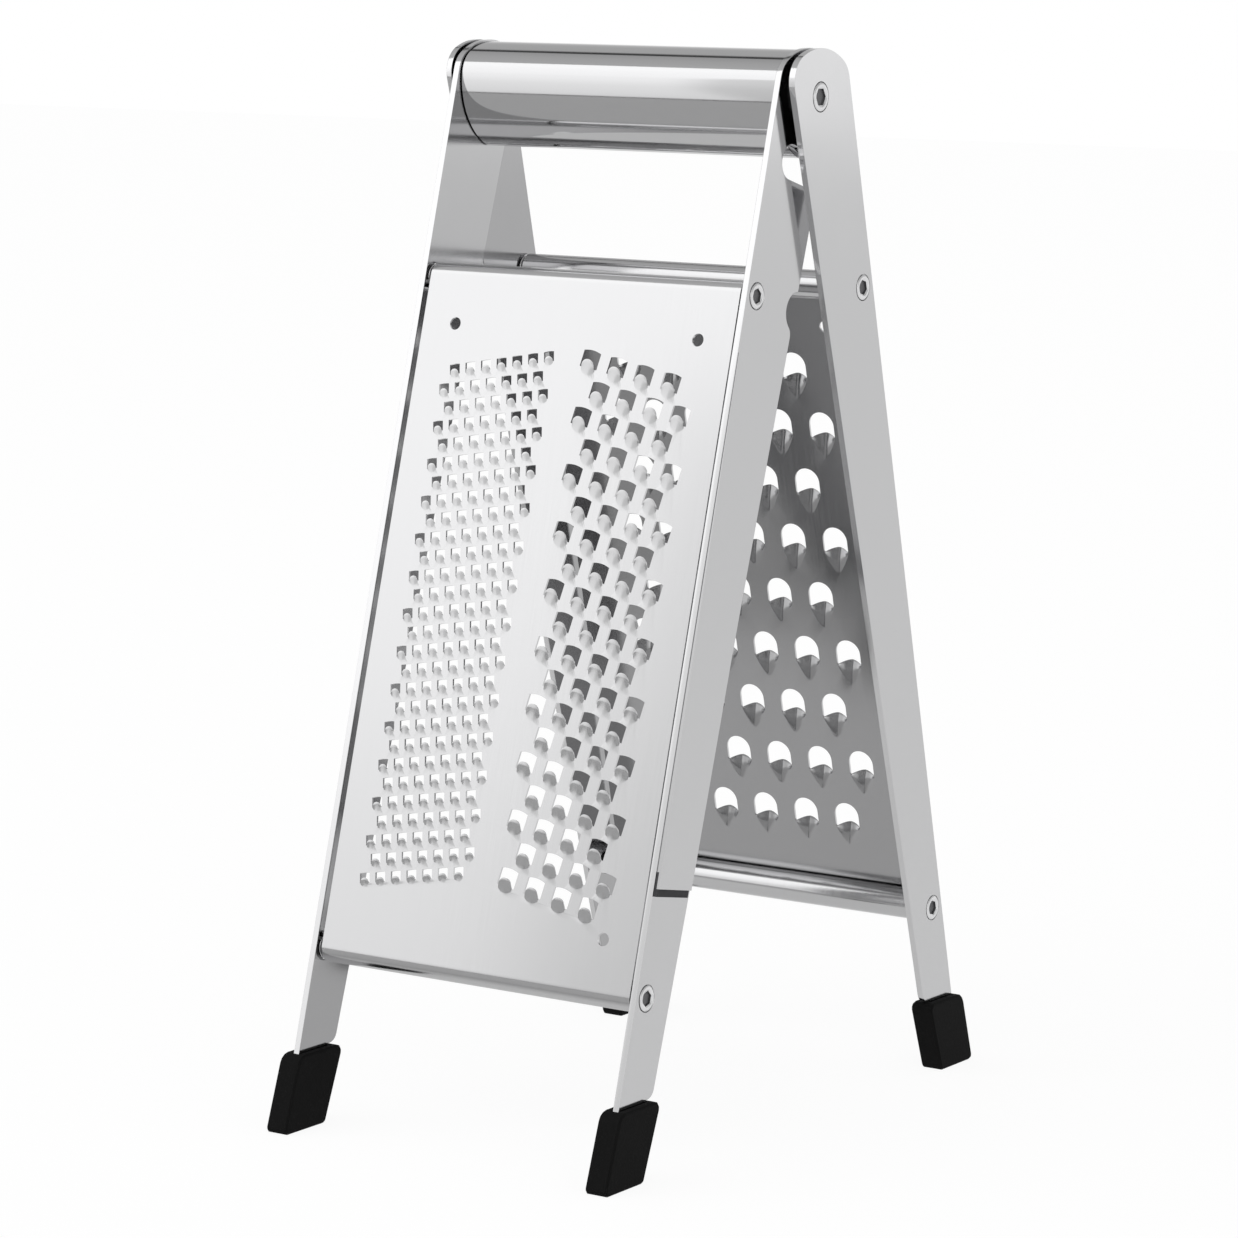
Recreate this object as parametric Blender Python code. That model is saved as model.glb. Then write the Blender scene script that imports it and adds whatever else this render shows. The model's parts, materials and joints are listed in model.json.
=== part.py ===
"""Folding kitchen grater: two leaning sheet metal frames hinged under one carrying handle.

The front frame carries a panel with a fine and a medium field of punched teeth, the back frame one
with coarse teeth. Each panel is one sheet whose top and bottom edges are rolled round a crossbar.
Lengths are in metres. X runs along the hinge, Y from front to back and Z up; the floor is at Z = 0
and the hinge line passes above the origin. A leg's own coordinates are s, measured down the leg
from the hinge line, and d, measured square to the leg and away from the other frame.
"""
import math

import bmesh
import bpy
from mathutils import Vector
from mathutils.geometry import delaunay_2d_cdt

# Stance and frame widths
PIVOT_HEIGHT = 0.2553
LEAN = math.radians(14.9)
FRAME_WIDTH = 0.0960
RAIL_THICKNESS = 0.0016
FRAME_GAP = 0.0016
SEAT_GAP = 0.0003

# Rail outline
RAIL_EDGE = 0.0143
RAIL_WIDTH = 0.0254
RAIL_TAPER = 0.0457
RAIL_TOP_RADIUS = 0.0202
RAIL_TOP_DROP = 0.0085
RAIL_CORNER_RADIUS = 0.0068
HEEL_RADIUS = 0.0030
TONGUE_HEEL_EDGE = 0.0035

# Openings in the front rails
NOTCH_CLEARANCE = 0.0011
NOTCH_LEAD_RADIUS = 0.0030
SLOT_DROP = 0.0171
SLOT_DEPTH_EDGE = 0.0035
SLOT_WIDTH = 0.0084

# Crossbars and the sheet rolled round them
BAR_RADIUS = 0.0026
BAR_OFFSET = 0.0096
UPPER_BAR_DROP = 0.0514
LOWER_BAR_HEIGHT = 0.0440
BAR_BORE_DEPTH = 0.0100
SHEET_THICKNESS = 0.0008
ROLL_WRAP = math.radians(300)
PANEL_GAP = 0.0009

# Screws with low heads and hexagon sockets
SCREW_RADIUS = 0.0015
PIVOT_SCREW_RADIUS = 0.0020
HEAD_RADIUS = 0.0034
PIVOT_HEAD_RADIUS = 0.0038
HEAD_HEIGHT = 0.0007
SOCKET_RADIUS = 0.0023
PIVOT_SOCKET_RADIUS = 0.0027
SOCKET_DEPTH = 0.0005
SCREW_GRIP = 0.0080
PIVOT_SCREW_GRIP = 0.0090
WASHER_RADIUS = 0.0055

# Handle, a tube with a rounded triangle section, measured from the hinge line
HANDLE_TOP = 0.0113
HANDLE_BOTTOM = 0.0150
HANDLE_TOP_RADIUS = 0.0196
HANDLE_CORNER_RADIUS = 0.0068
HANDLE_CORNER_SPREAD = 0.0061
HANDLE_SIDE_RADIUS = 0.0182
HANDLE_BOTTOM_RADIUS = 0.0059
HANDLE_WALL = 0.0012
PLUG_LENGTH = 0.0140

# Rubber boots: side walls, then the level walls before and behind the rail's tongue
BOOT_WALL = 0.0020
BOOT_SOLE = 0.0030
BOOT_HEIGHT = 0.0189
BOOT_HEEL_TOP_WALL = 0.0044
BOOT_HEEL_SOLE_WALL = 0.0020
BOOT_TOE_TOP_WALL = 0.0022
BOOT_TOE_SOLE_WALL = 0.0036
BOOT_TOE_RADIUS = 0.0031
BOOT_HEEL_RADIUS = 0.0017
BOOT_SOLE_RADIUS = 0.0012
BOOT_EDGE_BEVEL = 0.0005

# Hanging holes in the panels, placed from the bars
HANGING_RADIUS = 0.0016
HANGING_SPREAD = 0.0357
HANGING_MARGIN = 0.0122

# Tooth fields; their margins run from the bars to the first and last row
ROW_TILT = math.radians(10)
FINE_MIDDLE = -0.0211
FINE_UPPER_MARGIN = 0.0214
FINE_LOWER_MARGIN = 0.0207
FINE_PITCH = 0.00456
FINE_ROW_PITCH = 0.00473
FINE_COLUMNS = 7
MEDIUM_MIDDLE = 0.0200
MEDIUM_UPPER_MARGIN = 0.0212
MEDIUM_LOWER_MARGIN = 0.0209
MEDIUM_PITCH = 0.0080
MEDIUM_ROW_PITCH = 0.0071
MEDIUM_COLUMNS = 4
COARSE_MIDDLE = 0.0012
COARSE_UPPER_MARGIN = 0.0231
COARSE_LOWER_MARGIN = 0.0219
COARSE_PITCH = 0.0125
COARSE_ROW_PITCH = 0.0156
COARSE_COLUMNS = 5

# Each kind of tooth: its opening, the arch of its cutting edge, its lift, the length below it
# and how far the opening's upper edge is crowned
FINE_TOOTH = dict(width=0.0029, height=0.0026, arch=0.0013, lift=0.0005, tip=0.0011,
                  power=1, arch_steps=2, crown=0.0)
MEDIUM_TOOTH = dict(width=0.0051, height=0.0045, arch=0.0021, lift=0.0012, tip=0.0019,
                    power=1, arch_steps=3, crown=0.0004)
COARSE_TOOTH = dict(width=0.0072, height=0.0070, arch=0.0010, lift=0.0014, tip=0.0050,
                    power=2, arch_steps=4, crown=0.0036)

# How finely the round shapes are divided
HOLE_STEPS = 10
SCREW_STEPS = 12
BAR_STEPS = 12
ROLL_STEPS = 12
SMOOTH_ANGLE = math.radians(35)

# Sizes that follow from those above
FRONT_OUTER = FRAME_WIDTH / 2
FRONT_INNER = FRONT_OUTER - RAIL_THICKNESS
BACK_INNER = FRONT_OUTER + FRAME_GAP
BACK_OUTER = BACK_INNER + RAIL_THICKNESS
ROLL_INNER = BAR_RADIUS + SEAT_GAP
ROLL_OUTER = ROLL_INNER + SHEET_THICKNESS
LOWER_BAR_DROP = (PIVOT_HEIGHT - LOWER_BAR_HEIGHT + math.sin(LEAN) * BAR_OFFSET) / math.cos(LEAN)
PANEL_FACE = BAR_OFFSET + ROLL_OUTER
NOTCH_RADIUS = ROLL_OUTER + NOTCH_CLEARANCE
SHOULDER_HEIGHT = BOOT_HEIGHT + SEAT_GAP

FRONT = -1
BACK = 1
STEEL = dict(color=(0.62, 0.62, 0.63, 1), metallic=1.0, roughness=0.28)
BRUSHED = dict(color=(0.78, 0.78, 0.79, 1), metallic=1.0, roughness=0.38)
POLISHED = dict(color=(0.80, 0.80, 0.80, 1), metallic=1.0, roughness=0.08)
RUBBER = dict(color=(0.015, 0.015, 0.015, 1), metallic=0.0, roughness=0.75)


def leg_point(side, x, s, d):
    """A point of the front or back leg, measured from the middle of the hinge line."""
    across = math.sin(LEAN) * s + math.cos(LEAN) * d
    return Vector((x, side * across, math.sin(LEAN) * d - math.cos(LEAN) * s))


def leg_drop(height, d):
    """How far down a leg lies the point at this height over the floor and offset d."""
    return (PIVOT_HEIGHT - height + math.sin(LEAN) * d) / math.cos(LEAN)


def leg_reach(height, d):
    """How far from the middle plane lies the point of a leg at this height and offset d."""
    return math.tan(LEAN) * (PIVOT_HEIGHT - height) + d / math.cos(LEAN)


def arc(centre, radius, start, end, steps):
    """Points from angle start to angle end on a circle."""
    angles = [start + (end - start) * i / steps for i in range(steps + 1)]
    return [(centre[0] + radius * math.cos(a), centre[1] + radius * math.sin(a)) for a in angles]


def heading(tail, head):
    """Angle of the direction from one point to another."""
    return math.atan2(head[1] - tail[1], head[0] - tail[0])


def circle(centre, radius, steps=HOLE_STEPS):
    """A closed ring of points."""
    return arc(centre, radius, 0, 2 * math.pi, steps)[:-1]


def line_meets_circle(origin, slope, centre, radius):
    """Both points, smaller s first, where the line through origin meets a circle."""
    a = 1 + slope ** 2
    rise = origin[1] - slope * origin[0] - centre[1]
    b = slope * rise - centre[0]
    c = centre[0] ** 2 + rise ** 2 - radius ** 2
    root = math.sqrt(b ** 2 - a * c)
    roots = [(-b - root) / a, (-b + root) / a]
    return [(s, origin[1] + slope * (s - origin[0])) for s in roots]


def circles_meet(first, first_radius, second, second_radius):
    """The point, on the right of the way from first to second, at both given distances."""
    apart = math.dist(first, second)
    along = (apart ** 2 + first_radius ** 2 - second_radius ** 2) / (2 * apart)
    aside = math.sqrt(first_radius ** 2 - along ** 2)
    turn = heading(first, second)
    return (first[0] + along * math.cos(turn) + aside * math.sin(turn),
            first[1] + along * math.sin(turn) - aside * math.cos(turn))


def rounded_outline(corners, steps=4):
    """Polygon whose corners, given as (a, b, radius), are rounded by arcs."""
    points = []
    for i, (a, b, radius) in enumerate(corners):
        before = Vector(corners[i - 1][:2]) - Vector((a, b))
        after = Vector(corners[(i + 1) % len(corners)][:2]) - Vector((a, b))
        if radius == 0:
            points.append((a, b))
            continue
        half = before.angle(after) / 2
        middle = (before.normalized() + after.normalized()).normalized()
        centre = Vector((a, b)) + middle * radius / math.sin(half)
        start = heading(centre, Vector((a, b)) + before.normalized() * radius / math.tan(half))
        end = heading(centre, Vector((a, b)) + after.normalized() * radius / math.tan(half))
        end = start + (end - start + math.pi) % (2 * math.pi) - math.pi
        points += arc(centre, radius, start, end, steps)
    return points


def tangent_arcs(rounds, steps):
    """Closed convex outline of arcs (centre, radius), each touching the next from inside."""
    turns = []
    for i, (centre, radius) in enumerate(rounds):
        after, after_radius = rounds[(i + 1) % len(rounds)]
        small, large = (after, centre) if radius > after_radius else (centre, after)
        turns.append(heading(large, small))
    points = []
    for i, (centre, radius) in enumerate(rounds):
        start = turns[i - 1]
        end = start - (start - turns[i]) % (2 * math.pi)
        points += arc(centre, radius, start, end, steps[i])[:-1]
    return points


def triangulate(outline, holes):
    """Triangles over an outline with convex holes, as indices into all the points in order."""
    loops = [outline] + holes
    points = [Vector(p) for loop in loops for p in loop]
    owner = [i for i, loop in enumerate(loops) for _ in loop]
    edges = []
    for i, loop in enumerate(loops):
        first = owner.index(i)
        edges += [(first + k, first + (k + 1) % len(loop)) for k in range(len(loop))]
    result = delaunay_2d_cdt(points, edges, [], 1, 1e-9)
    triangles = []
    for face in result[2]:
        corners = [result[3][v][0] for v in face]
        owners = {owner[c] for c in corners}
        if len(owners) == 1 and owners != {0}:
            continue
        a, b, c = (points[k] for k in corners)
        if (b - a).cross(c - a) < 0:
            corners.reverse()
        triangles.append(tuple(corners))
    return triangles


def finish_mesh(bm, name, parent, look):
    """Turn a bmesh into a named object with its own material, placed on the hinge line."""
    bmesh.ops.recalc_face_normals(bm, faces=bm.faces)
    mesh = bpy.data.meshes.new(name)
    bm.to_mesh(mesh)
    bm.free()
    mesh.shade_smooth()
    mesh.set_sharp_from_angle(angle=SMOOTH_ANGLE)
    piece = bpy.data.objects.new(name, mesh)
    bpy.context.collection.objects.link(piece)
    piece.parent = parent
    if look:
        mesh.materials.append(make_material(name, look))
    return piece


def make_material(name, look):
    """A Principled material with the piece's colour, metallic value and roughness."""
    material = bpy.data.materials.new(name)
    material.use_nodes = True
    shader = material.node_tree.nodes["Principled BSDF"]
    shader.inputs["Base Color"].default_value = look["color"]
    shader.inputs["Metallic"].default_value = look["metallic"]
    shader.inputs["Roughness"].default_value = look["roughness"]
    return material


def prism(bm, ends, outline, holes, place):
    """Closed body with one outline and round holes between two ends along X."""
    points = [p for loop in [outline] + holes for p in loop]
    rings = [[bm.verts.new(place(x, a, b)) for a, b in points] for x in ends]
    for corners in triangulate(outline, holes):
        for ring in rings:
            bm.faces.new([ring[c] for c in corners])
    first = 0
    for loop in [outline] + holes:
        for k in range(len(loop)):
            here, after = first + k, first + (k + 1) % len(loop)
            bm.faces.new([rings[0][here], rings[0][after], rings[1][after], rings[1][here]])
        first += len(loop)


def revolve(bm, profile, steps, place, hexagonal=()):
    """Body turned about the X axis from (x, radius) points that begin and end on the axis."""
    rings = []
    for i, (x, radius) in enumerate(profile):
        if radius == 0:
            rings.append([bm.verts.new(place(x, 0, 0))])
            continue
        ring = []
        for k in range(steps):
            turn = 2 * math.pi * k / steps
            reach = radius
            if i in hexagonal:
                reach = radius * math.cos(math.pi / 6) / math.cos(turn % (math.pi / 3) - math.pi / 6)
            ring.append(bm.verts.new(place(x, reach * math.cos(turn), reach * math.sin(turn))))
        rings.append(ring)
    for near, far in zip(rings, rings[1:]):
        for k in range(steps):
            after = (k + 1) % steps
            corners = [near[k % len(near)], near[after % len(near)], far[after % len(far)], far[k % len(far)]]
            bm.faces.new(list(dict.fromkeys(corners)))


def rear_edge(s):
    """Offset of the rail's edge that faces the other frame."""
    return RAIL_EDGE - RAIL_WIDTH + RAIL_TAPER * s


def rail_top():
    """Rounded upper end: a wide arc between two corner arcs that touch the rail's edges."""
    top = (RAIL_TOP_DROP * math.cos(LEAN), -RAIL_TOP_DROP * math.sin(LEAN))
    reach = RAIL_TOP_RADIUS - RAIL_CORNER_RADIUS
    toe = line_meets_circle((0, RAIL_EDGE - RAIL_CORNER_RADIUS), 0, top, reach)[0]
    inset = RAIL_CORNER_RADIUS * math.sqrt(1 + RAIL_TAPER ** 2)
    heel = line_meets_circle((0, rear_edge(0) + inset), RAIL_TAPER, top, reach)[0]
    toe_turn = heading(top, toe)
    heel_turn = heading(top, heel) % (2 * math.pi)
    rear_turn = 1.5 * math.pi + math.atan(RAIL_TAPER)
    return (arc(toe, RAIL_CORNER_RADIUS, math.pi / 2, toe_turn, 3)
            + arc(top, RAIL_TOP_RADIUS, toe_turn, heel_turn, 6)[1:]
            + arc(heel, RAIL_CORNER_RADIUS, heel_turn, rear_turn, 5)[1:])


def rail_notch():
    """Round notch in the rear edge that takes the other frame's upper roll when folded."""
    centre = (UPPER_BAR_DROP, -BAR_OFFSET)
    upper = line_meets_circle((0, rear_edge(0)), RAIL_TAPER, centre, NOTCH_RADIUS)[0]
    inset = NOTCH_LEAD_RADIUS * math.sqrt(1 + RAIL_TAPER ** 2)
    reach = NOTCH_RADIUS + NOTCH_LEAD_RADIUS
    lead = line_meets_circle((0, rear_edge(0) + inset), RAIL_TAPER, centre, reach)[1]
    touch = heading(centre, lead)
    rear_turn = math.atan(RAIL_TAPER) - math.pi / 2
    return (arc(centre, NOTCH_RADIUS, heading(centre, upper), touch, 8)
            + arc(lead, NOTCH_LEAD_RADIUS, touch - math.pi, rear_turn, 3)[1:])


def rail_slot():
    """Slot with a round end, cut square to the leg from the rear edge."""
    radius = SLOT_WIDTH / 2
    above = SLOT_DROP - radius
    below = SLOT_DROP + radius
    end = arc((SLOT_DROP, SLOT_DEPTH_EDGE), radius, math.pi, 0, 8)
    return [(above, rear_edge(above))] + end + [(below, rear_edge(below))]


def rail_foot():
    """Heel shoulder over the boot, and the narrower tongue inside it."""
    heel_low = leg_drop(SHOULDER_HEIGHT, rear_edge(leg_drop(SHOULDER_HEIGHT, 0)))
    foot = BOOT_SOLE + SEAT_GAP
    corners = [
        (UPPER_BAR_DROP, rear_edge(UPPER_BAR_DROP), 0),
        (heel_low, rear_edge(heel_low), HEEL_RADIUS),
        (leg_drop(SHOULDER_HEIGHT, TONGUE_HEEL_EDGE), TONGUE_HEEL_EDGE, 0),
        (leg_drop(foot, TONGUE_HEEL_EDGE), TONGUE_HEEL_EDGE, 0),
        (leg_drop(foot, RAIL_EDGE), RAIL_EDGE, 0),
        (0, RAIL_EDGE, 0),
    ]
    return rounded_outline(corners, 3)[1:-1]


def rail_outline(with_notch, with_slot):
    """Whole outline of a rail in leg coordinates."""
    outline = rail_top()
    if with_slot:
        outline += rail_slot()
    if with_notch:
        outline += rail_notch()
    return outline + rail_foot()


def rail(name, parent, side, hand, inner, outer):
    """A flat rail with a pivot hole and two holes for the crossbar screws."""
    is_front = side == FRONT
    outline = rail_outline(is_front, is_front and hand > 0)
    holes = [circle((0, 0), PIVOT_SCREW_RADIUS + SEAT_GAP)]
    for drop in (UPPER_BAR_DROP, LOWER_BAR_DROP):
        holes.append(circle((drop, BAR_OFFSET), SCREW_RADIUS + SEAT_GAP))
    bm = bmesh.new()
    prism(bm, (hand * inner, hand * outer), outline, holes, lambda x, s, d: leg_point(side, x, s, d))
    return finish_mesh(bm, name, parent, STEEL)


def crossbar(name, parent, side, drop, half_length):
    """A round bar with a screw bore in each end."""
    bore = SCREW_RADIUS + SEAT_GAP
    floor = half_length - BAR_BORE_DEPTH
    profile = [(-floor, 0), (-floor, bore), (-half_length, bore), (-half_length, BAR_RADIUS),
               (half_length, BAR_RADIUS), (half_length, bore), (floor, bore), (floor, 0)]
    bm = bmesh.new()
    revolve(bm, profile, BAR_STEPS, lambda x, a, b: leg_point(side, x, drop + a, BAR_OFFSET + b))
    return finish_mesh(bm, name, parent, STEEL)


def screw(name, parent, radii, length, face, hand, place):
    """Screw with radii of shank, low head and hexagon socket; face is the X of the rail under the head."""
    shank, head, socket = radii
    top = SEAT_GAP + HEAD_HEIGHT
    floor = top - SOCKET_DEPTH
    profile = [(-length, 0), (-length, shank), (SEAT_GAP, shank), (SEAT_GAP, head),
               (top, head), (top, socket), (floor, socket), (floor, 0)]
    bm = bmesh.new()
    revolve(bm, profile, SCREW_STEPS, lambda x, a, b: place(hand * (face + x), a, b), (5, 6))
    return finish_mesh(bm, name, parent, STEEL)


def washer(name, parent, hand):
    """Spacer ring on the pivot screw, between a front rail and a back rail."""
    bore = circle((0, 0), PIVOT_SCREW_RADIUS + SEAT_GAP, BAR_STEPS)
    rim = circle((0, 0), WASHER_RADIUS, BAR_STEPS)
    bm = bmesh.new()
    ends = (hand * (FRONT_OUTER + SEAT_GAP), hand * (BACK_INNER - SEAT_GAP))
    prism(bm, ends, rim, [bore], lambda x, a, b: Vector((x, a, b)))
    return finish_mesh(bm, name, parent, STEEL)


def handle_section(inset):
    """The rounded triangle section as (y, z) points, drawn in by an inset."""
    top = (0, HANDLE_TOP - HANDLE_TOP_RADIUS)
    spread = HANDLE_CORNER_SPREAD
    reach = HANDLE_TOP_RADIUS - HANDLE_CORNER_RADIUS
    corner_height = top[1] + math.sqrt(reach ** 2 - spread ** 2)
    right = (spread, corner_height)
    left = (-spread, corner_height)
    bottom = (0, HANDLE_BOTTOM_RADIUS - HANDLE_BOTTOM)
    corner_reach = HANDLE_SIDE_RADIUS - HANDLE_CORNER_RADIUS
    bottom_reach = HANDLE_SIDE_RADIUS - HANDLE_BOTTOM_RADIUS
    right_side = circles_meet(right, corner_reach, bottom, bottom_reach)
    right_side = (-abs(right_side[0]), right_side[1])
    left_side = (-right_side[0], right_side[1])
    rounds = [(top, HANDLE_TOP_RADIUS), (right, HANDLE_CORNER_RADIUS), (right_side, HANDLE_SIDE_RADIUS),
              (bottom, HANDLE_BOTTOM_RADIUS), (left_side, HANDLE_SIDE_RADIUS), (left, HANDLE_CORNER_RADIUS)]
    return tangent_arcs([(c, r - inset) for c, r in rounds], [6, 4, 5, 5, 5, 4])


def handle_tube(name, parent):
    """The carrying tube between the front rails."""
    half = FRONT_INNER - SEAT_GAP
    outside = handle_section(0)
    inside = handle_section(HANDLE_WALL)
    bm = bmesh.new()
    ends = []
    for x in (-half, half):
        ends.append([[bm.verts.new((x, y, z)) for y, z in loop] for loop in (outside, inside)])
    count = len(outside)
    for k in range(count):
        after = (k + 1) % count
        for loop in (0, 1):
            bm.faces.new([ends[0][loop][k], ends[0][loop][after], ends[1][loop][after], ends[1][loop][k]])
        for end in ends:
            bm.faces.new([end[0][k], end[0][after], end[1][after], end[1][k]])
    return finish_mesh(bm, name, parent, POLISHED)


def handle_plug(name, parent, hand):
    """Plug in the tube's end, bored to the pivot screw."""
    section = handle_section(HANDLE_WALL + SEAT_GAP)
    bore = circle((0, 0), PIVOT_SCREW_RADIUS + SEAT_GAP)
    outer = FRONT_INNER - SEAT_GAP
    bm = bmesh.new()
    prism(bm, (hand * (outer - PLUG_LENGTH), hand * outer), section, [bore], lambda x, a, b: Vector((x, a, b)))
    return finish_mesh(bm, name, parent, STEEL)


def boot_outline():
    """Side view of a boot as (distance from the middle plane, height over the floor)."""
    corners = [
        (leg_reach(0, TONGUE_HEEL_EDGE) - BOOT_HEEL_SOLE_WALL, 0, BOOT_SOLE_RADIUS),
        (leg_reach(0, RAIL_EDGE) + BOOT_TOE_SOLE_WALL, 0, BOOT_SOLE_RADIUS),
        (leg_reach(BOOT_HEIGHT, RAIL_EDGE) + BOOT_TOE_TOP_WALL, BOOT_HEIGHT, BOOT_TOE_RADIUS),
        (leg_reach(BOOT_HEIGHT, TONGUE_HEEL_EDGE) - BOOT_HEEL_TOP_WALL, BOOT_HEIGHT, BOOT_HEEL_RADIUS),
    ]
    return rounded_outline(corners, 3)


def boot_pocket(side, hand, middle):
    """Cutter for the pocket that holds the rail's tongue."""
    heel = TONGUE_HEEL_EDGE - SEAT_GAP
    toe = RAIL_EDGE + SEAT_GAP
    half = RAIL_THICKNESS / 2 + SEAT_GAP
    above = 2 * BOOT_HEIGHT
    outline = [(leg_drop(BOOT_SOLE, heel), heel), (leg_drop(BOOT_SOLE, toe), toe),
               (leg_drop(above, toe), toe), (leg_drop(above, heel), heel)]
    bm = bmesh.new()
    prism(bm, (hand * (middle - half), hand * (middle + half)), outline, [],
          lambda x, s, d: leg_point(side, x, s, d))
    return bm


def boot(name, parent, side, hand, rail_inner):
    """Rubber boot with rounded edges and a pocket for the rail's tongue."""
    middle = rail_inner + RAIL_THICKNESS / 2
    half = RAIL_THICKNESS / 2 + SEAT_GAP + BOOT_WALL
    outline = boot_outline()
    bm = bmesh.new()
    prism(bm, (hand * (middle - half), hand * (middle + half)), outline, [],
          lambda x, a, b: Vector((x, side * a, b - PIVOT_HEIGHT)))
    bmesh.ops.recalc_face_normals(bm, faces=bm.faces)
    bmesh.ops.dissolve_limit(bm, angle_limit=math.radians(1), verts=bm.verts, edges=bm.edges)
    flat_ends = [e for e in bm.edges if e.calc_face_angle(0) > math.radians(80)]
    bmesh.ops.bevel(bm, geom=flat_ends, offset=BOOT_EDGE_BEVEL, segments=1, affect="EDGES")
    body = finish_mesh(bm, name, parent, RUBBER)
    cutter = finish_mesh(boot_pocket(side, hand, middle), name + "_pocket", parent, None)
    cutter.hide_render = True
    cutter.display_type = "WIRE"
    cut = body.modifiers.new("pocket", "BOOLEAN")
    cut.operation = "DIFFERENCE"
    cut.solver = "EXACT"
    cut.object = cutter
    return body


class Sheet:
    """A panel's sheet: points with an outside and an inside place, and faces over them."""

    def __init__(self, side, half_width):
        self.side = side
        self.half_width = half_width
        self.outside = []
        self.inside = []
        self.faces = []
        self.patches = []

    def add(self, x, s, d_outside, d_inside, s_inside=None):
        """Add a point and return its index."""
        self.outside.append(leg_point(self.side, x, s, d_outside))
        self.inside.append(leg_point(self.side, x, s if s_inside is None else s_inside, d_inside))
        return len(self.outside) - 1

    def add_flat(self, x, s, lift=0.0):
        """Add a point of the flat sheet, raised outwards by a lift."""
        return self.add(x, s, PANEL_FACE + lift, PANEL_FACE + lift - SHEET_THICKNESS)

    def to_bmesh(self):
        """Close the sheet: both skins, and a wall along every free edge."""
        bm = bmesh.new()
        outer = [bm.verts.new(p) for p in self.outside]
        inner = [bm.verts.new(p) for p in self.inside]
        used = {(f[k - 1], f[k]) for f in self.faces for k in range(len(f))}
        for face in self.faces:
            bm.faces.new([outer[k] for k in face])
            bm.faces.new([inner[k] for k in reversed(face)])
        for tail, head in used:
            if (head, tail) not in used:
                bm.faces.new([outer[head], outer[tail], inner[tail], inner[head]])
        return bm


def tooth_loop(tooth):
    """Corners round one tooth: the opening's top, its right foot, the tip and its left foot."""
    half = tooth["width"] / 2
    top = -tooth["height"] / 2
    foot = tooth["height"] / 2
    upper = [(-half, top), (half, top)]
    if tooth["crown"] > 0:
        radius = (half ** 2 + tooth["crown"] ** 2) / (2 * tooth["crown"])
        spread = math.asin(half / radius)
        centre = (0, top + radius)
        steps = 2 * math.ceil(spread / math.radians(45))
        upper = arc(centre, radius, -math.pi / 2 - spread, -math.pi / 2 + spread, steps)
    return upper + [(half, foot), (0, foot + tooth["tip"]), (-half, foot)]


def tooth_arch(tooth):
    """Points (u, v, lift) of the cutting edge between its feet."""
    half = tooth["width"] / 2
    foot = tooth["height"] / 2
    points = []
    for i in range(1, tooth["arch_steps"]):
        turn = math.pi * i / tooth["arch_steps"]
        bulge = math.sin(turn) ** tooth["power"]
        points.append((-half * math.cos(turn), foot - tooth["arch"] * bulge, tooth["lift"] * bulge))
    return points


def punch_tooth(flat, tooth, x, s, tilt):
    """Add one punched tooth: its loop in the flat sheet and its raised fan of faces."""
    def place(u, v):
        return (x + u * math.cos(tilt) - v * math.sin(tilt), s + u * math.sin(tilt) + v * math.cos(tilt))

    loop = [flat.add_flat(*place(u, v)) for u, v in tooth_loop(tooth)]
    right, tip, left = loop[-3:]
    edge = [left] + [flat.add_flat(*place(u, v), lift) for u, v, lift in tooth_arch(tooth)] + [right]
    flat.faces += [(a, b, tip) for a, b in zip(edge, edge[1:])]
    flat.patches.append(loop)


def punch_hole(flat, x, s):
    """Add one plain round hole."""
    flat.patches.append([flat.add_flat(*p) for p in circle((x, s), HANGING_RADIUS)])


def field_rows(margins, row_pitch):
    """Drops of the rows that fill the space between the margins at about this pitch."""
    first = UPPER_BAR_DROP + margins[0]
    length = LOWER_BAR_DROP - margins[1] - first
    count = round(length / row_pitch)
    return [first + length * row / count for row in range(count + 1)]


def punch_field(flat, tooth, middle, margins, pitches, columns, tilt):
    """Add a field of staggered rows that lean by tilt; pitches are those of columns and rows."""
    pitch = pitches[0]
    for row, level in enumerate(field_rows(margins, pitches[1])):
        shift = (pitch / 4) * (1 if row % 2 == 0 else -1) * (-1 if tilt > 0 else 1)
        for column in range(columns):
            across = (column - (columns - 1) / 2) * pitch + shift
            down = level + across * math.tan(tilt)
            punch_tooth(flat, tooth, middle + across, down, tilt)


def punch_coarse_field(flat):
    """Add the coarse field: level rows, every other one with one more tooth."""
    margins = (COARSE_UPPER_MARGIN, COARSE_LOWER_MARGIN)
    for row, level in enumerate(field_rows(margins, COARSE_ROW_PITCH)):
        count = COARSE_COLUMNS + row % 2
        for column in range(count):
            across = (column - (count - 1) / 2) * COARSE_PITCH
            punch_tooth(flat, COARSE_TOOTH, COARSE_MIDDLE + across, level, 0)


def fill_flat(flat):
    """Cover the flat part between the rolls, leaving out the teeth and holes."""
    corners = [(-1, UPPER_BAR_DROP), (1, UPPER_BAR_DROP), (1, LOWER_BAR_DROP), (-1, LOWER_BAR_DROP)]
    border = [flat.add_flat(hand * flat.half_width, s) for hand, s in corners]
    loops = [border] + flat.patches

    def flat_place(index):
        point = flat.outside[index]
        return (point.x, (math.sin(LEAN) * PANEL_FACE - point.z) / math.cos(LEAN))

    keys = [k for loop in loops for k in loop]
    outlines = [[flat_place(k) for k in loop] for loop in loops]
    for corners in triangulate(outlines[0], outlines[1:]):
        flat.faces.append(tuple(keys[c] for c in corners))
    return border


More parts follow.
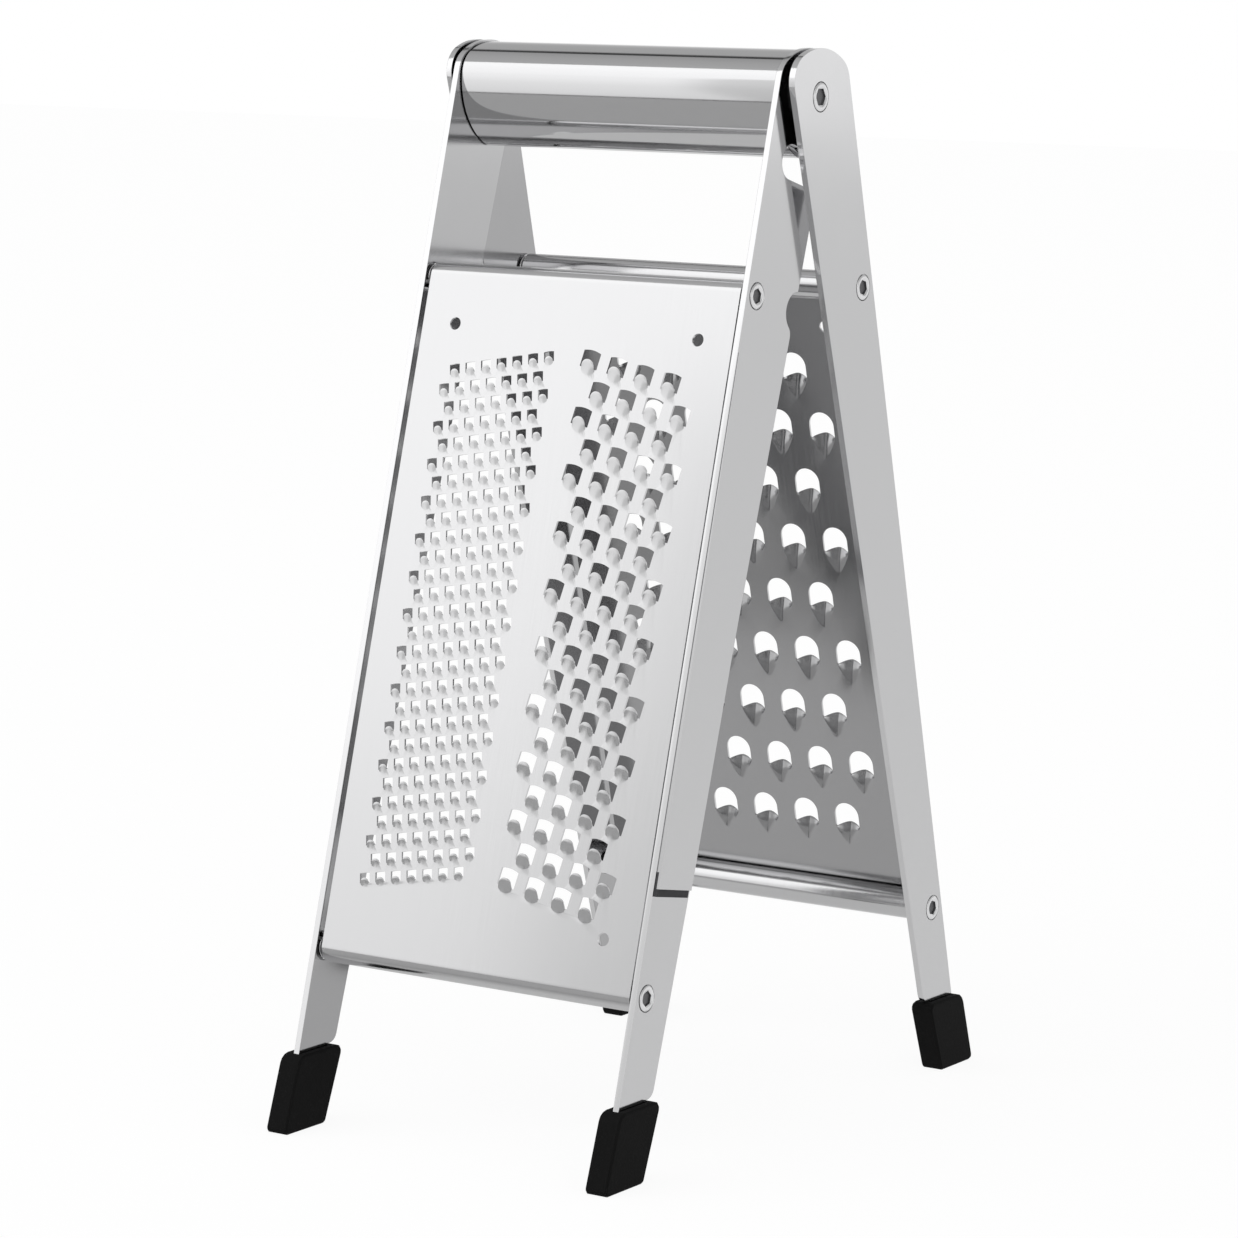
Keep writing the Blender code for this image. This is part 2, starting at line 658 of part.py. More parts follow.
def roll_edge(flat, start, hands, drop, way):
    """Roll the sheet's end round a crossbar, from the two points where the flat part ends."""
    row = start
    for step in range(1, ROLL_STEPS + 1):
        turn = ROLL_WRAP * step / ROLL_STEPS
        after = []
        for hand in hands:
            after.append(flat.add(hand * flat.half_width,
                                  drop + way * ROLL_OUTER * math.sin(turn),
                                  BAR_OFFSET + ROLL_OUTER * math.cos(turn),
                                  BAR_OFFSET + ROLL_INNER * math.cos(turn),
                                  drop + way * ROLL_INNER * math.sin(turn)))
        flat.faces.append((row[0], after[0], after[1], row[1]))
        row = after


def panel(name, parent, side, half_width, punch):
    """One sheet with punched teeth and both ends rolled round the crossbars."""
    flat = Sheet(side, half_width)
    punch(flat)
    border = fill_flat(flat)
    roll_edge(flat, (border[0], border[1]), (-1, 1), UPPER_BAR_DROP, -1)
    roll_edge(flat, (border[2], border[3]), (1, -1), LOWER_BAR_DROP, 1)
    return finish_mesh(flat.to_bmesh(), name, parent, BRUSHED)


def punch_front(flat):
    """Fine teeth on the left, medium teeth on the right and three hanging holes."""
    fine_margins = (FINE_UPPER_MARGIN, FINE_LOWER_MARGIN)
    punch_field(flat, FINE_TOOTH, FINE_MIDDLE, fine_margins, (FINE_PITCH, FINE_ROW_PITCH),
                FINE_COLUMNS, -ROW_TILT)
    medium_margins = (MEDIUM_UPPER_MARGIN, MEDIUM_LOWER_MARGIN)
    punch_field(flat, MEDIUM_TOOTH, MEDIUM_MIDDLE, medium_margins, (MEDIUM_PITCH, MEDIUM_ROW_PITCH),
                MEDIUM_COLUMNS, ROW_TILT)
    punch_hole(flat, -HANGING_SPREAD, UPPER_BAR_DROP + HANGING_MARGIN)
    punch_hole(flat, HANGING_SPREAD, UPPER_BAR_DROP + HANGING_MARGIN)
    punch_hole(flat, HANGING_SPREAD, LOWER_BAR_DROP - HANGING_MARGIN)


def punch_back(flat):
    """Coarse teeth and the same three hanging holes, turned round with the panel."""
    punch_coarse_field(flat)
    punch_hole(flat, COARSE_MIDDLE - HANGING_SPREAD, UPPER_BAR_DROP + HANGING_MARGIN)
    punch_hole(flat, COARSE_MIDDLE + HANGING_SPREAD, UPPER_BAR_DROP + HANGING_MARGIN)
    punch_hole(flat, COARSE_MIDDLE - HANGING_SPREAD, LOWER_BAR_DROP - HANGING_MARGIN)


def frame_hinge(name):
    """Empty on the hinge line that carries one frame."""
    hinge = bpy.data.objects.new(name, None)
    hinge.location = (0, 0, PIVOT_HEIGHT)
    bpy.context.collection.objects.link(hinge)
    return hinge


def build_frame(label, parent, side, inner, outer):
    """Rails, crossbars, their screws and the boots of one frame."""
    for hand, hand_name in ((-1, "left"), (1, "right")):
        rail(f"{label}_{hand_name}_rail", parent, side, hand, inner, outer)
        boot(f"{label}_{hand_name}_boot", parent, side, hand, inner)
    length = RAIL_THICKNESS + SCREW_GRIP
    radii = (SCREW_RADIUS, HEAD_RADIUS, SOCKET_RADIUS)
    for level, drop in (("upper", UPPER_BAR_DROP), ("lower", LOWER_BAR_DROP)):
        crossbar(f"{label}_{level}_crossbar", parent, side, drop, inner - SEAT_GAP)
        for hand, hand_name in ((-1, "left"), (1, "right")):
            screw(f"{label}_{level}_{hand_name}_screw", parent, radii, length, outer, hand,
                  lambda x, a, b, drop=drop: leg_point(side, x, drop + a, BAR_OFFSET + b))


def build_pivot(front, back):
    """Handle with its plugs on the front frame, pivot screws and washers on the back one."""
    handle_tube("handle_tube", front)
    length = BACK_OUTER - FRONT_INNER + PIVOT_SCREW_GRIP
    radii = (PIVOT_SCREW_RADIUS, PIVOT_HEAD_RADIUS, PIVOT_SOCKET_RADIUS)
    for hand, hand_name in ((-1, "left"), (1, "right")):
        handle_plug(f"{hand_name}_handle_plug", front, hand)
        washer(f"{hand_name}_pivot_washer", front, hand)
        screw(f"{hand_name}_pivot_screw", front, radii, length, BACK_OUTER, hand,
              lambda x, a, b: Vector((x, a, b)))


def main():
    """Build the grater, standing open."""
    for old in list(bpy.data.objects):
        bpy.data.objects.remove(old, do_unlink=True)
    front = frame_hinge("front_frame")
    back = frame_hinge("back_frame")
    build_frame("front", front, FRONT, FRONT_INNER, FRONT_OUTER)
    build_frame("back", back, BACK, BACK_INNER, BACK_OUTER)
    build_pivot(front, back)
    panel("front_panel", front, FRONT, FRONT_INNER - PANEL_GAP, punch_front)
    panel("back_panel", back, BACK, BACK_INNER - PANEL_GAP, punch_back)


main()
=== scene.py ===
import json
import math

import bmesh
import bpy
from mathutils import Matrix, Vector
from mathutils.geometry import delaunay_2d_cdt


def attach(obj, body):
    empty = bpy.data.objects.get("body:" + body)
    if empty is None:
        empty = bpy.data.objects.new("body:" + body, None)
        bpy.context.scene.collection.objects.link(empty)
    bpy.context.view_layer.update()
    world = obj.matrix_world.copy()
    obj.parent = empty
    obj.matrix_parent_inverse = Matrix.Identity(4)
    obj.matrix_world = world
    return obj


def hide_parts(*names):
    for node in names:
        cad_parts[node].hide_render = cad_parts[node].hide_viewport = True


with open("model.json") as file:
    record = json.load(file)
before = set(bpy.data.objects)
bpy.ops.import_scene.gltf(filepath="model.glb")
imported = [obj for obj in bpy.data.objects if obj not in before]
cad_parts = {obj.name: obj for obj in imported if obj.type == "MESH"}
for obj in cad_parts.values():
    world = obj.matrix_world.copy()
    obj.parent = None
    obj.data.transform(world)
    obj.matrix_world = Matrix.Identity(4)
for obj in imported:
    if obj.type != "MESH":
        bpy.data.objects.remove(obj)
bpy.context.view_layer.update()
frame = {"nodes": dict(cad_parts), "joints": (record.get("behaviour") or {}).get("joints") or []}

bl_info = {
    "name": "Folding Grater",
    "version": (1, 0, 0),
    "blender": (4, 5, 0),
    "location": "View3D > Sidebar > Grater",
    "description": "Dresses a folding steel grater: punched panels, rails, handle, screws and boots",
    "category": "Object",
}

MM = 0.001

# Stance and what both frames share: s is measured down a leg from the hinge line, d outwards
HINGE = Vector(frame["joints"][0]["pos_m"])
LEAN = math.radians(14.9)
BAR_OFFSET = 9.6 * MM
UPPER_BAR_DROP = 51.4 * MM
LOWER_BAR_HEIGHT = 44.0 * MM
LOWER_BAR_DROP = (HINGE.z - LOWER_BAR_HEIGHT + math.sin(LEAN) * BAR_OFFSET) / math.cos(LEAN)
ROLL_INNER = 2.9 * MM
ROLL_OUTER = 3.7 * MM
ROLL_WRAP = math.radians(300)
PANEL_FACE = BAR_OFFSET + ROLL_OUTER
FRONT = -1
BACK = 1
FRONT_RAIL_FACE = 48.0 * MM
BACK_RAIL_FACE = 51.2 * MM
FRAMES = ((FRONT, "front", FRONT_RAIL_FACE), (BACK, "back", BACK_RAIL_FACE))
HANDS = ((-1, "left"), (1, "right"))

# Rail outline, in leg coordinates, with the openings of the front rails
RAIL_THICKNESS = 1.6 * MM
RAIL_EDGE = 14.3 * MM
RAIL_WIDTH = 25.4 * MM
RAIL_TAPER = 0.0457
RAIL_TOP_RADIUS = 20.2 * MM
RAIL_TOP_DROP = 8.5 * MM
RAIL_CORNER_RADIUS = 6.8 * MM
HEEL_RADIUS = 3.0 * MM
TONGUE_HEEL_EDGE = 3.5 * MM
TONGUE_HEIGHT = 3.3 * MM
SHOULDER_HEIGHT = 19.2 * MM
NOTCH_RADIUS = ROLL_OUTER + 1.1 * MM
NOTCH_LEAD_RADIUS = 3.0 * MM
SLOT_DROP = 17.1 * MM
SLOT_DEPTH_EDGE = 3.5 * MM
SLOT_WIDTH = 8.4 * MM
PIVOT_BORE = 2.3 * MM
ARC_STEPS = 24

# The step that rises out of the right front rail's outside, and the dark pad below its end
STEP_INNER = FRONT_RAIL_FACE + 0.05 * MM
STEP_RISE = (0.05 * MM, 1.15 * MM)
STEP_TOP_DROP = 66.0 * MM
STEP_END_DROP = (194.2 * MM, 195.3 * MM)
STEP_EDGE = 13.9 * MM
STEP_REAR_INSET = 1.3 * MM
PAD_LENGTH = 1.85 * MM
PAD_RISE = 0.95 * MM
PAD_REAR_INSET = 2.1 * MM
# The pad's flap is a painted shadow line in the gap along the step's front edge
FLAP_LENGTH = 4.0 * MM
FLAP_RISE = 0.5 * MM
FLAP_EDGES = (12.9 * MM, 14.0 * MM)

# Handle section, measured from the hinge line
HANDLE_TOP = 11.3 * MM
HANDLE_BOTTOM = 15.0 * MM
HANDLE_TOP_RADIUS = 19.6 * MM
HANDLE_CORNER_RADIUS = 6.8 * MM
HANDLE_CORNER_SPREAD = 6.1 * MM
HANDLE_SIDE_RADIUS = 18.2 * MM
HANDLE_BOTTOM_RADIUS = 5.9 * MM
HANDLE_WALL = 1.2 * MM
HANDLE_HALF = 46.1 * MM
HANDLE_EDGE = 0.15 * MM

# The punched sheet: its thickness, what is left of it at a ground cutting edge, and how fast it
# grows again down the tongue
SHEET = 0.6 * MM
GROUND_EDGE = 0.22 * MM
GROUND_SLOPE = 2.5
ROLL_STEPS = 36
HOLE_STEPS = 28
TOOTH_RINGS = (0, 0.07, 0.25, 0.45, 0.65, 0.85, 1)

# Each kind of tooth: its opening, the arch and lift of its tongue, how wide the tongue is for the
# opening, how sharply arch and lift fall off to its sides, the length of sheet pushed out below
# it, and how far the opening's upper edge is crowned; the lip is the last bit that bends back
FINE_TOOTH = dict(width=2.9 * MM, height=2.6 * MM, arch=1.3 * MM, lift=0.45 * MM, tongue=0.84,
                  fall=2.4, side=0.6, crest=0.5, tip=1.2 * MM, point=2.0, crown=0.12 * MM, columns=10)
MEDIUM_TOOTH = dict(width=5.1 * MM, height=4.5 * MM, arch=2.1 * MM, lift=0.95 * MM, tongue=0.78,
                    fall=2.4, side=0.55, crest=0.5, tip=2.2 * MM, point=2.0, crown=0.4 * MM, columns=14)
COARSE_TOOTH = dict(width=7.2 * MM, height=7.0 * MM, arch=1.0 * MM, lift=1.45 * MM, tongue=0.97,
                    fall=1.6, side=1.0, crest=1.0, tip=5.8 * MM, point=1.5, crown=3.6 * MM, columns=18)
LIP = 0.06 * MM
LIFT_FALL = 1.2

# The three fields of teeth, placed from the bars. Columns is the number of teeth in a first row,
# extra how many more a second row has, and shift how far, in pitches, a first row is moved to the
# right and a second one to the left.
ROW_TILT = math.radians(10)
COARSE_MIDDLE = 1.2 * MM
FINE_FIELD = dict(tooth=FINE_TOOTH, middle=-21.1 * MM, pitch=4.56 * MM, rows=28, columns=7, extra=0,
                  shift=0.25, tilt=-ROW_TILT, top=UPPER_BAR_DROP + 21.4 * MM,
                  bottom=LOWER_BAR_DROP - 20.7 * MM)
MEDIUM_FIELD = dict(tooth=MEDIUM_TOOTH, middle=20.0 * MM, pitch=8.0 * MM, rows=19, columns=4, extra=0,
                    shift=-0.25, tilt=ROW_TILT, top=UPPER_BAR_DROP + 21.2 * MM,
                    bottom=LOWER_BAR_DROP - 20.9 * MM)
COARSE_FIELD = dict(tooth=COARSE_TOOTH, middle=COARSE_MIDDLE, pitch=12.5 * MM, rows=9, columns=5,
                    extra=1, shift=0, tilt=0, top=UPPER_BAR_DROP + 23.1 * MM,
                    bottom=LOWER_BAR_DROP - 21.9 * MM)

# The two panels: where they go, their half width, their fields, and the (x, s) of hanging holes
HANGING_RADIUS = 1.6 * MM
HANGING_SPREAD = 35.7 * MM
HANGING_UPPER = UPPER_BAR_DROP + 12.2 * MM
HANGING_LOWER = LOWER_BAR_DROP - 12.2 * MM
PANELS = ((FRONT, "front", 45.5 * MM, (FINE_FIELD, MEDIUM_FIELD),
           ((-HANGING_SPREAD, HANGING_UPPER), (HANGING_SPREAD, HANGING_UPPER),
            (HANGING_SPREAD, HANGING_LOWER))),
          (BACK, "back", 48.7 * MM, (COARSE_FIELD,),
           ((COARSE_MIDDLE - HANGING_SPREAD, HANGING_UPPER),
            (COARSE_MIDDLE + HANGING_SPREAD, HANGING_UPPER),
            (COARSE_MIDDLE - HANGING_SPREAD, HANGING_LOWER))))

# Screws: head and socket radii, and the gap round a head, which sits nearly flush in its rail
SCREW_HEAD = dict(head=3.10 * MM, socket=1.95 * MM)
PIVOT_HEAD = dict(head=3.50 * MM, socket=2.30 * MM)
HEAD_GAP = 0.24 * MM
LATHE_STEPS = 48

# A screw's section in millimetres, from the shank's end to the floor of its socket: how far each
# point stands over the rail, and its radius, or how far it is outside the head or socket radius
SHANK = ((-8.0, 0), (-8.0, 1.3), (-7.7, 1.5), (-1.5, 1.5))
HEAD_RIM = ((-1.5, -0.10), (-1.4, 0), (0, 0), (0.12, -0.12), (0.26, -0.50))
SOCKET_MOUTH = ((0.28, 0.40), (0.20, 0.15), (0, 0), (-0.45, 0))
SOCKET_FLOOR = -0.55

# Edge rounding and shading. Faces that meet at less than the flat angle are merged, and a rail's
# face whose normal has this much of X is one of its two wide ones.
SMOOTH_ANGLE = math.radians(32)
BEVEL_ANGLE = math.radians(40)
BEVEL_SEGMENTS = 2
FLAT_ANGLE = math.radians(0.5)
WIDE_FACE = 0.9
WELD_DISTANCE = 0.01 * MM
NORMAL_WEIGHT = 80

# The photograph's camera, measured from the hinge line
CAMERA_PLACE = Vector((602.0, -928.7, 28.9)) * MM
CAMERA_AZIMUTH = math.radians(33.158)
CAMERA_ELEVATION = math.radians(8.295)
CAMERA_ROLL = math.radians(0.899)
PHOTO_SIDE = 1238
FOCAL_PIXELS = 4430.3
SENSOR_MM = 36

# sRGB colours of the finishes
SHEET_COLOUR = "#E1E1E2"
SHEET_INNER_COLOUR = "#BCBCBD"
RAIL_COLOUR = "#D8D8D9"
# The rails' ground edges are painted lighter as a highlight
RAIL_EDGE_HIGHLIGHT_COLOUR = "#ECECED"
# The rails' inner faces are painted darker as shade between the frames, the back ones darkest
RAIL_INNER_SHADE_COLOUR = "#C8C8C9"
BACK_INNER_SHADE_COLOUR = "#B8B8B9"
TUBE_COLOUR = "#E0E0E1"
FITTING_COLOUR = "#D6D6D7"
# The screw heads are painted lighter as a highlight ring, and the sockets darker as shade in their recesses
HEAD_HIGHLIGHT_COLOUR = "#F6F6F7"
SOCKET_SHADE_COLOUR = "#7E7E80"
RUBBER_COLOUR = "#0E0E0E"
# The pad's colour also paints the shadow line in the gap beside the step
PAD_AND_GAP_SHADOW_COLOUR = "#4A4A4C"
PAPER_COLOUR = "#F2F2F2"
WHITE = (1, 1, 1, 1)

# Steel finishes: lowest roughness, and what the cloudy patches add to it
RAIL_ROUGHNESS = (0.10, 0.05)
FITTING_ROUGHNESS = (0.22, 0.06)
HEAD_ROUGHNESS = (0.36, 0.06)
SOCKET_ROUGHNESS = (0.50, 0.10)
TUBE_ROUGHNESS = (0.06, 0.04)

# Patterns per metre. Brushing: scratches 0.25 mm apart and 17 mm long, coarser than real ones.
# Polishing: cloudy patches 11 mm wide. Moulded rubber: pebbles 0.55 mm wide, coarser than real.
BRUSH_SCALE = (4000, 60, 60)
BRUSH_SPAN = (0.3, 0.7)
BRUSH_ROUGHNESS = (0.13, 0.19)
BRUSH_DEPTH = 0.02 * MM
BRUSH_STRENGTH = 0.12
CLOUD_SCALE = 90.0
PEBBLE_SCALE = 1800.0
PEBBLE_DEPTH = 0.2 * MM
PEBBLE_STRENGTH = 0.35
RUBBER_ROUGHNESS = 0.75
RUBBER_SPECULAR = 0.15

# The studio's bands: how bright by the angle round the X axis, 0 in front, 90 overhead, 180 behind
STUDIO_PEAK = 1.22
STUDIO_BANDS = ((0, 0.88), (20, 0.93), (55, 1.0), (57, 0.40), (90, 0.36), (119, 0.30), (122, 0.04),
                (126, 0.04), (129, 0.36), (150, 0.36), (168, 0.48), (179, 0.60))

# A white card that stands in front of the grater and shows in its steel: brighter with height,
# fading to its lower right
CARD_DISTANCE = 0.6
CARD_LEFT = -1.6
CARD_RIGHT = 1.0
CARD_HEIGHT = 1.18
CARD_PEAK = 1.27
CARD_RAMP = ((0, 0.15), (0.012, 0.15), (0.02, 0.68), (0.178, 0.77), (0.26, 0.88), (0.35, 0.935),
             (0.72, 1.0))
CARD_SHADE_X = (-0.358, -0.336)
CARD_SHADE_Z = (0.46, 0.40)
CARD_SHADE = 0.71

# Angles between which the white backdrop begins in what gloss sees
BACKDROP_FROM = 160
BACKDROP_FULL = 178

# The paper on the floor: its size, how bright it is, and how much of that is a glow of its own
FLOOR_HALF = 6
PAPER_BRIGHT = 1.07
PAPER_GLOW = 0.85

# How gloss sees that paper: with painted shade in a band in front, and a painted shadow in a patch
# under and beside the grater. Each row is an axis, the middle, half width and soft edge of a stretch
# along it, and its level inside and outside; the first is the band, and the others bound the patch
PAPER_STRETCHES = (("Y", -0.36, 0.245, 0.04, 0.38, 0.80), ("X", -0.17, 0.23, 0.02, 0.0, 1.0),
                   ("Y", -0.01, 0.10, 0.02, 0.0, 1.0))
PAPER_SHADOW_LEVEL = 0.73

# The lamp: a square soft box in front, on the left, aimed at the grater's middle
KEY_PLACE = Vector((-1.0, -1.5, 1.1))
KEY_AIM = Vector((0, 0, 0.13))
KEY_SIZE = 2.0
KEY_POWER = 5.0


def channel(value):
    """One sRGB channel, 0 to 1, as a linear value."""
    return value / 12.92 if value <= 0.04045 else ((value + 0.055) / 1.055) ** 2.4


def linear(code):
    """A hex colour as a linear colour with alpha."""
    return tuple(channel(int(code[i:i + 2], 16) / 255) for i in (1, 3, 5)) + (1.0,)


def leg_point(side, x, s, d):
    """A point of the front or back leg: s down the leg from the hinge line, d outwards."""
    across = math.sin(LEAN) * s + math.cos(LEAN) * d
    return HINGE + Vector((x, side * across, math.sin(LEAN) * d - math.cos(LEAN) * s))


def arc(centre, radius, start, end, steps=ARC_STEPS):
    """Points from angle start to angle end on a circle."""
    angles = [start + (end - start) * i / steps for i in range(steps + 1)]
    return [(centre[0] + radius * math.cos(a), centre[1] + radius * math.sin(a)) for a in angles]


def heading(tail, head):
    """Angle of the direction from one point to another."""
    return math.atan2(head[1] - tail[1], head[0] - tail[0])


def line_meets_circle(origin, slope, centre, radius):
    """Both points, smaller s first, where the line through origin meets a circle."""
    a = 1 + slope ** 2
    rise = origin[1] - slope * origin[0] - centre[1]
    b = slope * rise - centre[0]
    c = centre[0] ** 2 + rise ** 2 - radius ** 2
    root = math.sqrt(b ** 2 - a * c)
    return [(s, origin[1] + slope * (s - origin[0])) for s in ((-b - root) / a, (-b + root) / a)]


def leg_drop(height, d):
    """How far down a leg lies the point at this height over the floor and offset d."""
    return (HINGE.z - height + math.sin(LEAN) * d) / math.cos(LEAN)


def rear_edge(s):
    """Offset of the rail's edge that faces the other frame."""
    return RAIL_EDGE - RAIL_WIDTH + RAIL_TAPER * s


def rail_top():
    """Rounded upper end of a rail: a wide arc between two corner arcs."""
    top = (RAIL_TOP_DROP * math.cos(LEAN), -RAIL_TOP_DROP * math.sin(LEAN))
    reach = RAIL_TOP_RADIUS - RAIL_CORNER_RADIUS
    toe = line_meets_circle((0, RAIL_EDGE - RAIL_CORNER_RADIUS), 0, top, reach)[0]
    inset = RAIL_CORNER_RADIUS * math.sqrt(1 + RAIL_TAPER ** 2)
    heel = line_meets_circle((0, rear_edge(0) + inset), RAIL_TAPER, top, reach)[0]
    toe_turn = heading(top, toe)
    heel_turn = heading(top, heel) % (2 * math.pi)
    rear_turn = 1.5 * math.pi + math.atan(RAIL_TAPER)
    return (arc(toe, RAIL_CORNER_RADIUS, math.pi / 2, toe_turn, steps=10)
            + arc(top, RAIL_TOP_RADIUS, toe_turn, heel_turn)[1:]
            + arc(heel, RAIL_CORNER_RADIUS, heel_turn, rear_turn, steps=16)[1:])


def rail_slot():
    """Slot with a round end, cut square to the leg from the rear edge."""
    radius = SLOT_WIDTH / 2
    above = SLOT_DROP - radius
    below = SLOT_DROP + radius
    end = arc((SLOT_DROP, SLOT_DEPTH_EDGE), radius, math.pi, 0)
    return [(above, rear_edge(above))] + end + [(below, rear_edge(below))]


def rail_notch():
    """Round notch in the rear edge that takes the other frame's upper roll when folded."""
    centre = (UPPER_BAR_DROP, -BAR_OFFSET)
    upper = line_meets_circle((0, rear_edge(0)), RAIL_TAPER, centre, NOTCH_RADIUS)[0]
    inset = NOTCH_LEAD_RADIUS * math.sqrt(1 + RAIL_TAPER ** 2)
    reach = NOTCH_RADIUS + NOTCH_LEAD_RADIUS
    lead = line_meets_circle((0, rear_edge(0) + inset), RAIL_TAPER, centre, reach)[1]
    touch = heading(centre, lead)
    rear_turn = math.atan(RAIL_TAPER) - math.pi / 2
    return (arc(centre, NOTCH_RADIUS, heading(centre, upper), touch)
            + arc(lead, NOTCH_LEAD_RADIUS, touch - math.pi, rear_turn, steps=10)[1:])


def rail_heel():
    """Rounded heel over the boot."""
    low = leg_drop(SHOULDER_HEIGHT, rear_edge(leg_drop(SHOULDER_HEIGHT, 0)))
    corner = Vector((low, rear_edge(low)))
    shoulder = Vector((leg_drop(SHOULDER_HEIGHT, TONGUE_HEEL_EDGE), TONGUE_HEEL_EDGE))
    before = (Vector((0, rear_edge(0))) - corner).normalized()
    after = (shoulder - corner).normalized()
    half = before.angle(after) / 2
    centre = corner + (before + after).normalized() * HEEL_RADIUS / math.sin(half)
    start, end = [heading(centre, corner + way * HEEL_RADIUS / math.tan(half))
                  for way in (before, after)]
    end = start + (end - start + math.pi) % (2 * math.pi) - math.pi
    return arc(centre, HEEL_RADIUS, start, end, steps=12)


def rail_outline(with_notch, with_slot):
    """Whole outline of a rail in leg coordinates."""
    tongue = [(leg_drop(SHOULDER_HEIGHT, TONGUE_HEEL_EDGE), TONGUE_HEEL_EDGE),
              (leg_drop(TONGUE_HEIGHT, TONGUE_HEEL_EDGE), TONGUE_HEEL_EDGE),
              (leg_drop(TONGUE_HEIGHT, RAIL_EDGE), RAIL_EDGE)]
    slot = rail_slot() if with_slot else []
    notch = rail_notch() if with_notch else []
    return rail_top() + slot + notch + rail_heel() + tongue


def handle_section(inset):
    """The handle's rounded triangle section as (y, z) points, drawn in by an inset."""
    top = Vector((0, HANDLE_TOP - HANDLE_TOP_RADIUS))
    reach = HANDLE_TOP_RADIUS - HANDLE_CORNER_RADIUS
    right = Vector((HANDLE_CORNER_SPREAD, top.y + math.sqrt(reach ** 2 - HANDLE_CORNER_SPREAD ** 2)))
    bottom = Vector((0, HANDLE_BOTTOM_RADIUS - HANDLE_BOTTOM))
    corner_reach = HANDLE_SIDE_RADIUS - HANDLE_CORNER_RADIUS
    bottom_reach = HANDLE_SIDE_RADIUS - HANDLE_BOTTOM_RADIUS
    apart = (bottom - right).length
    along = (apart ** 2 + corner_reach ** 2 - bottom_reach ** 2) / (2 * apart)
    aside = math.sqrt(corner_reach ** 2 - along ** 2)
    way = (bottom - right).normalized()
    side = right + way * along + Vector((way.y, -way.x)) * aside
    right_side = Vector((-abs(side.x), side.y))
    left_side = Vector((-right_side.x, side.y))
    left = Vector((-right.x, right.y))
    # Each round part of the section: its centre, radius and steps
    rounds = [(top, HANDLE_TOP_RADIUS, 36), (right, HANDLE_CORNER_RADIUS, 20),
              (right_side, HANDLE_SIDE_RADIUS, 30), (bottom, HANDLE_BOTTOM_RADIUS, 24),
              (left_side, HANDLE_SIDE_RADIUS, 30), (left, HANDLE_CORNER_RADIUS, 20)]
    turns = []
    for (centre, radius, _), (after, after_radius, _) in zip(rounds, rounds[1:] + rounds[:1]):
        turns.append(heading(centre, after) if radius > after_radius else heading(after, centre))
    points = []
    for i, (centre, radius, steps) in enumerate(rounds):
        start = turns[i - 1]
        end = start - (start - turns[i]) % (2 * math.pi)
        points += arc(centre, radius - inset, start, end, steps)[:-1]
    return points


def add_node(tree, kind, inputs=None, **settings):
    """Add a node with its settings, and set or link its inputs; a node stands for its first output."""
    node = tree.nodes.new(kind)
    for name, value in settings.items():
        setattr(node, name, value)
    for name, value in (inputs or {}).items():
        if isinstance(value, bpy.types.Node):
            value = value.outputs[0]
        if isinstance(value, bpy.types.NodeSocket):
            tree.links.new(value, node.inputs[name])
        else:
            node.inputs[name].default_value = value
    return node


def new_material(name):
    """A new material, its node tree, and a node's output with places in the object's own space."""
    material = bpy.data.materials.new(name)
    material.use_nodes = True
    tree = material.node_tree
    tree.nodes.clear()
    return material, tree, add_node(tree, "ShaderNodeTexCoord").outputs["Object"]


def dress(piece, material):
    """Give a piece one material and nothing else."""
    piece.data.materials.clear()
    piece.data.materials.append(material)


def add_object(name, data):
    """Add an object with this data to the scene."""
    added = bpy.data.objects.new(name, data)
    bpy.context.scene.collection.objects.link(added)
    return added


def add_mesh(name, bm):
    """Add an object with the shape of a bmesh, and free the bmesh."""
    mesh = bpy.data.meshes.new(name)
    bm.to_mesh(mesh)
    bm.free()
    return add_object(name, mesh)


def new_piece(name, bm, materials, body):
    """Make an object from a bmesh with its materials and let it ride on its body."""
    bmesh.ops.recalc_face_normals(bm, faces=bm.faces)
    piece = add_mesh(name, bm)
    piece.data.shade_smooth()
    piece.data.set_sharp_from_angle(angle=SMOOTH_ANGLE)
    for material in materials:
        piece.data.materials.append(material)
    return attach(piece, body)


def even_normals(piece, keep_sharp=True):
    """Let large flat faces decide the shading next to small curved ones."""
    even = piece.modifiers.new("even_normals", "WEIGHTED_NORMAL")
    even.keep_sharp = keep_sharp
    even.weight = NORMAL_WEIGHT


def round_edges(piece, width):
    """Round a piece's edges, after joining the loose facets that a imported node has."""
    weld = piece.modifiers.new("weld", "WELD")
    weld.merge_threshold = WELD_DISTANCE
    bevel = piece.modifiers.new("edges", "BEVEL")
    bevel.width = width
    bevel.segments = BEVEL_SEGMENTS
    bevel.limit_method = "ANGLE"
    bevel.angle_limit = BEVEL_ANGLE
    bevel.use_clamp_overlap = True
    even_normals(piece, keep_sharp=False)


def loop_edges(loops):
    """Edges of closed loops whose points are numbered in one run, as pairs of numbers."""
    edges = []
    first = 0
    for loop in loops:
        edges += [(first + k, first + (k + 1) % len(loop)) for k in range(len(loop))]
        first += len(loop)
    return edges


def triangulate(outline, holes):
    """Triangles over an outline with convex holes, as indices into all the points in order."""
    loops = [outline] + holes
    points = [Vector(p) for loop in loops for p in loop]
    owner = [i for i, loop in enumerate(loops) for _ in loop]
    inside_only, same_point = 1, 1e-9
    found = delaunay_2d_cdt(points, loop_edges(loops), [], inside_only, same_point)
    faces, sources = found[2:4]
    triangles = []
    for face in faces:
        corners = [sources[v][0] for v in face]
        owners = {owner[c] for c in corners}
        if len(owners) == 1 and owners != {0}:
            continue
        a, b, c = (points[k] for k in corners)
        if (b - a).cross(c - a) < 0:
            corners.reverse()
        triangles.append(tuple(corners))
    return triangles


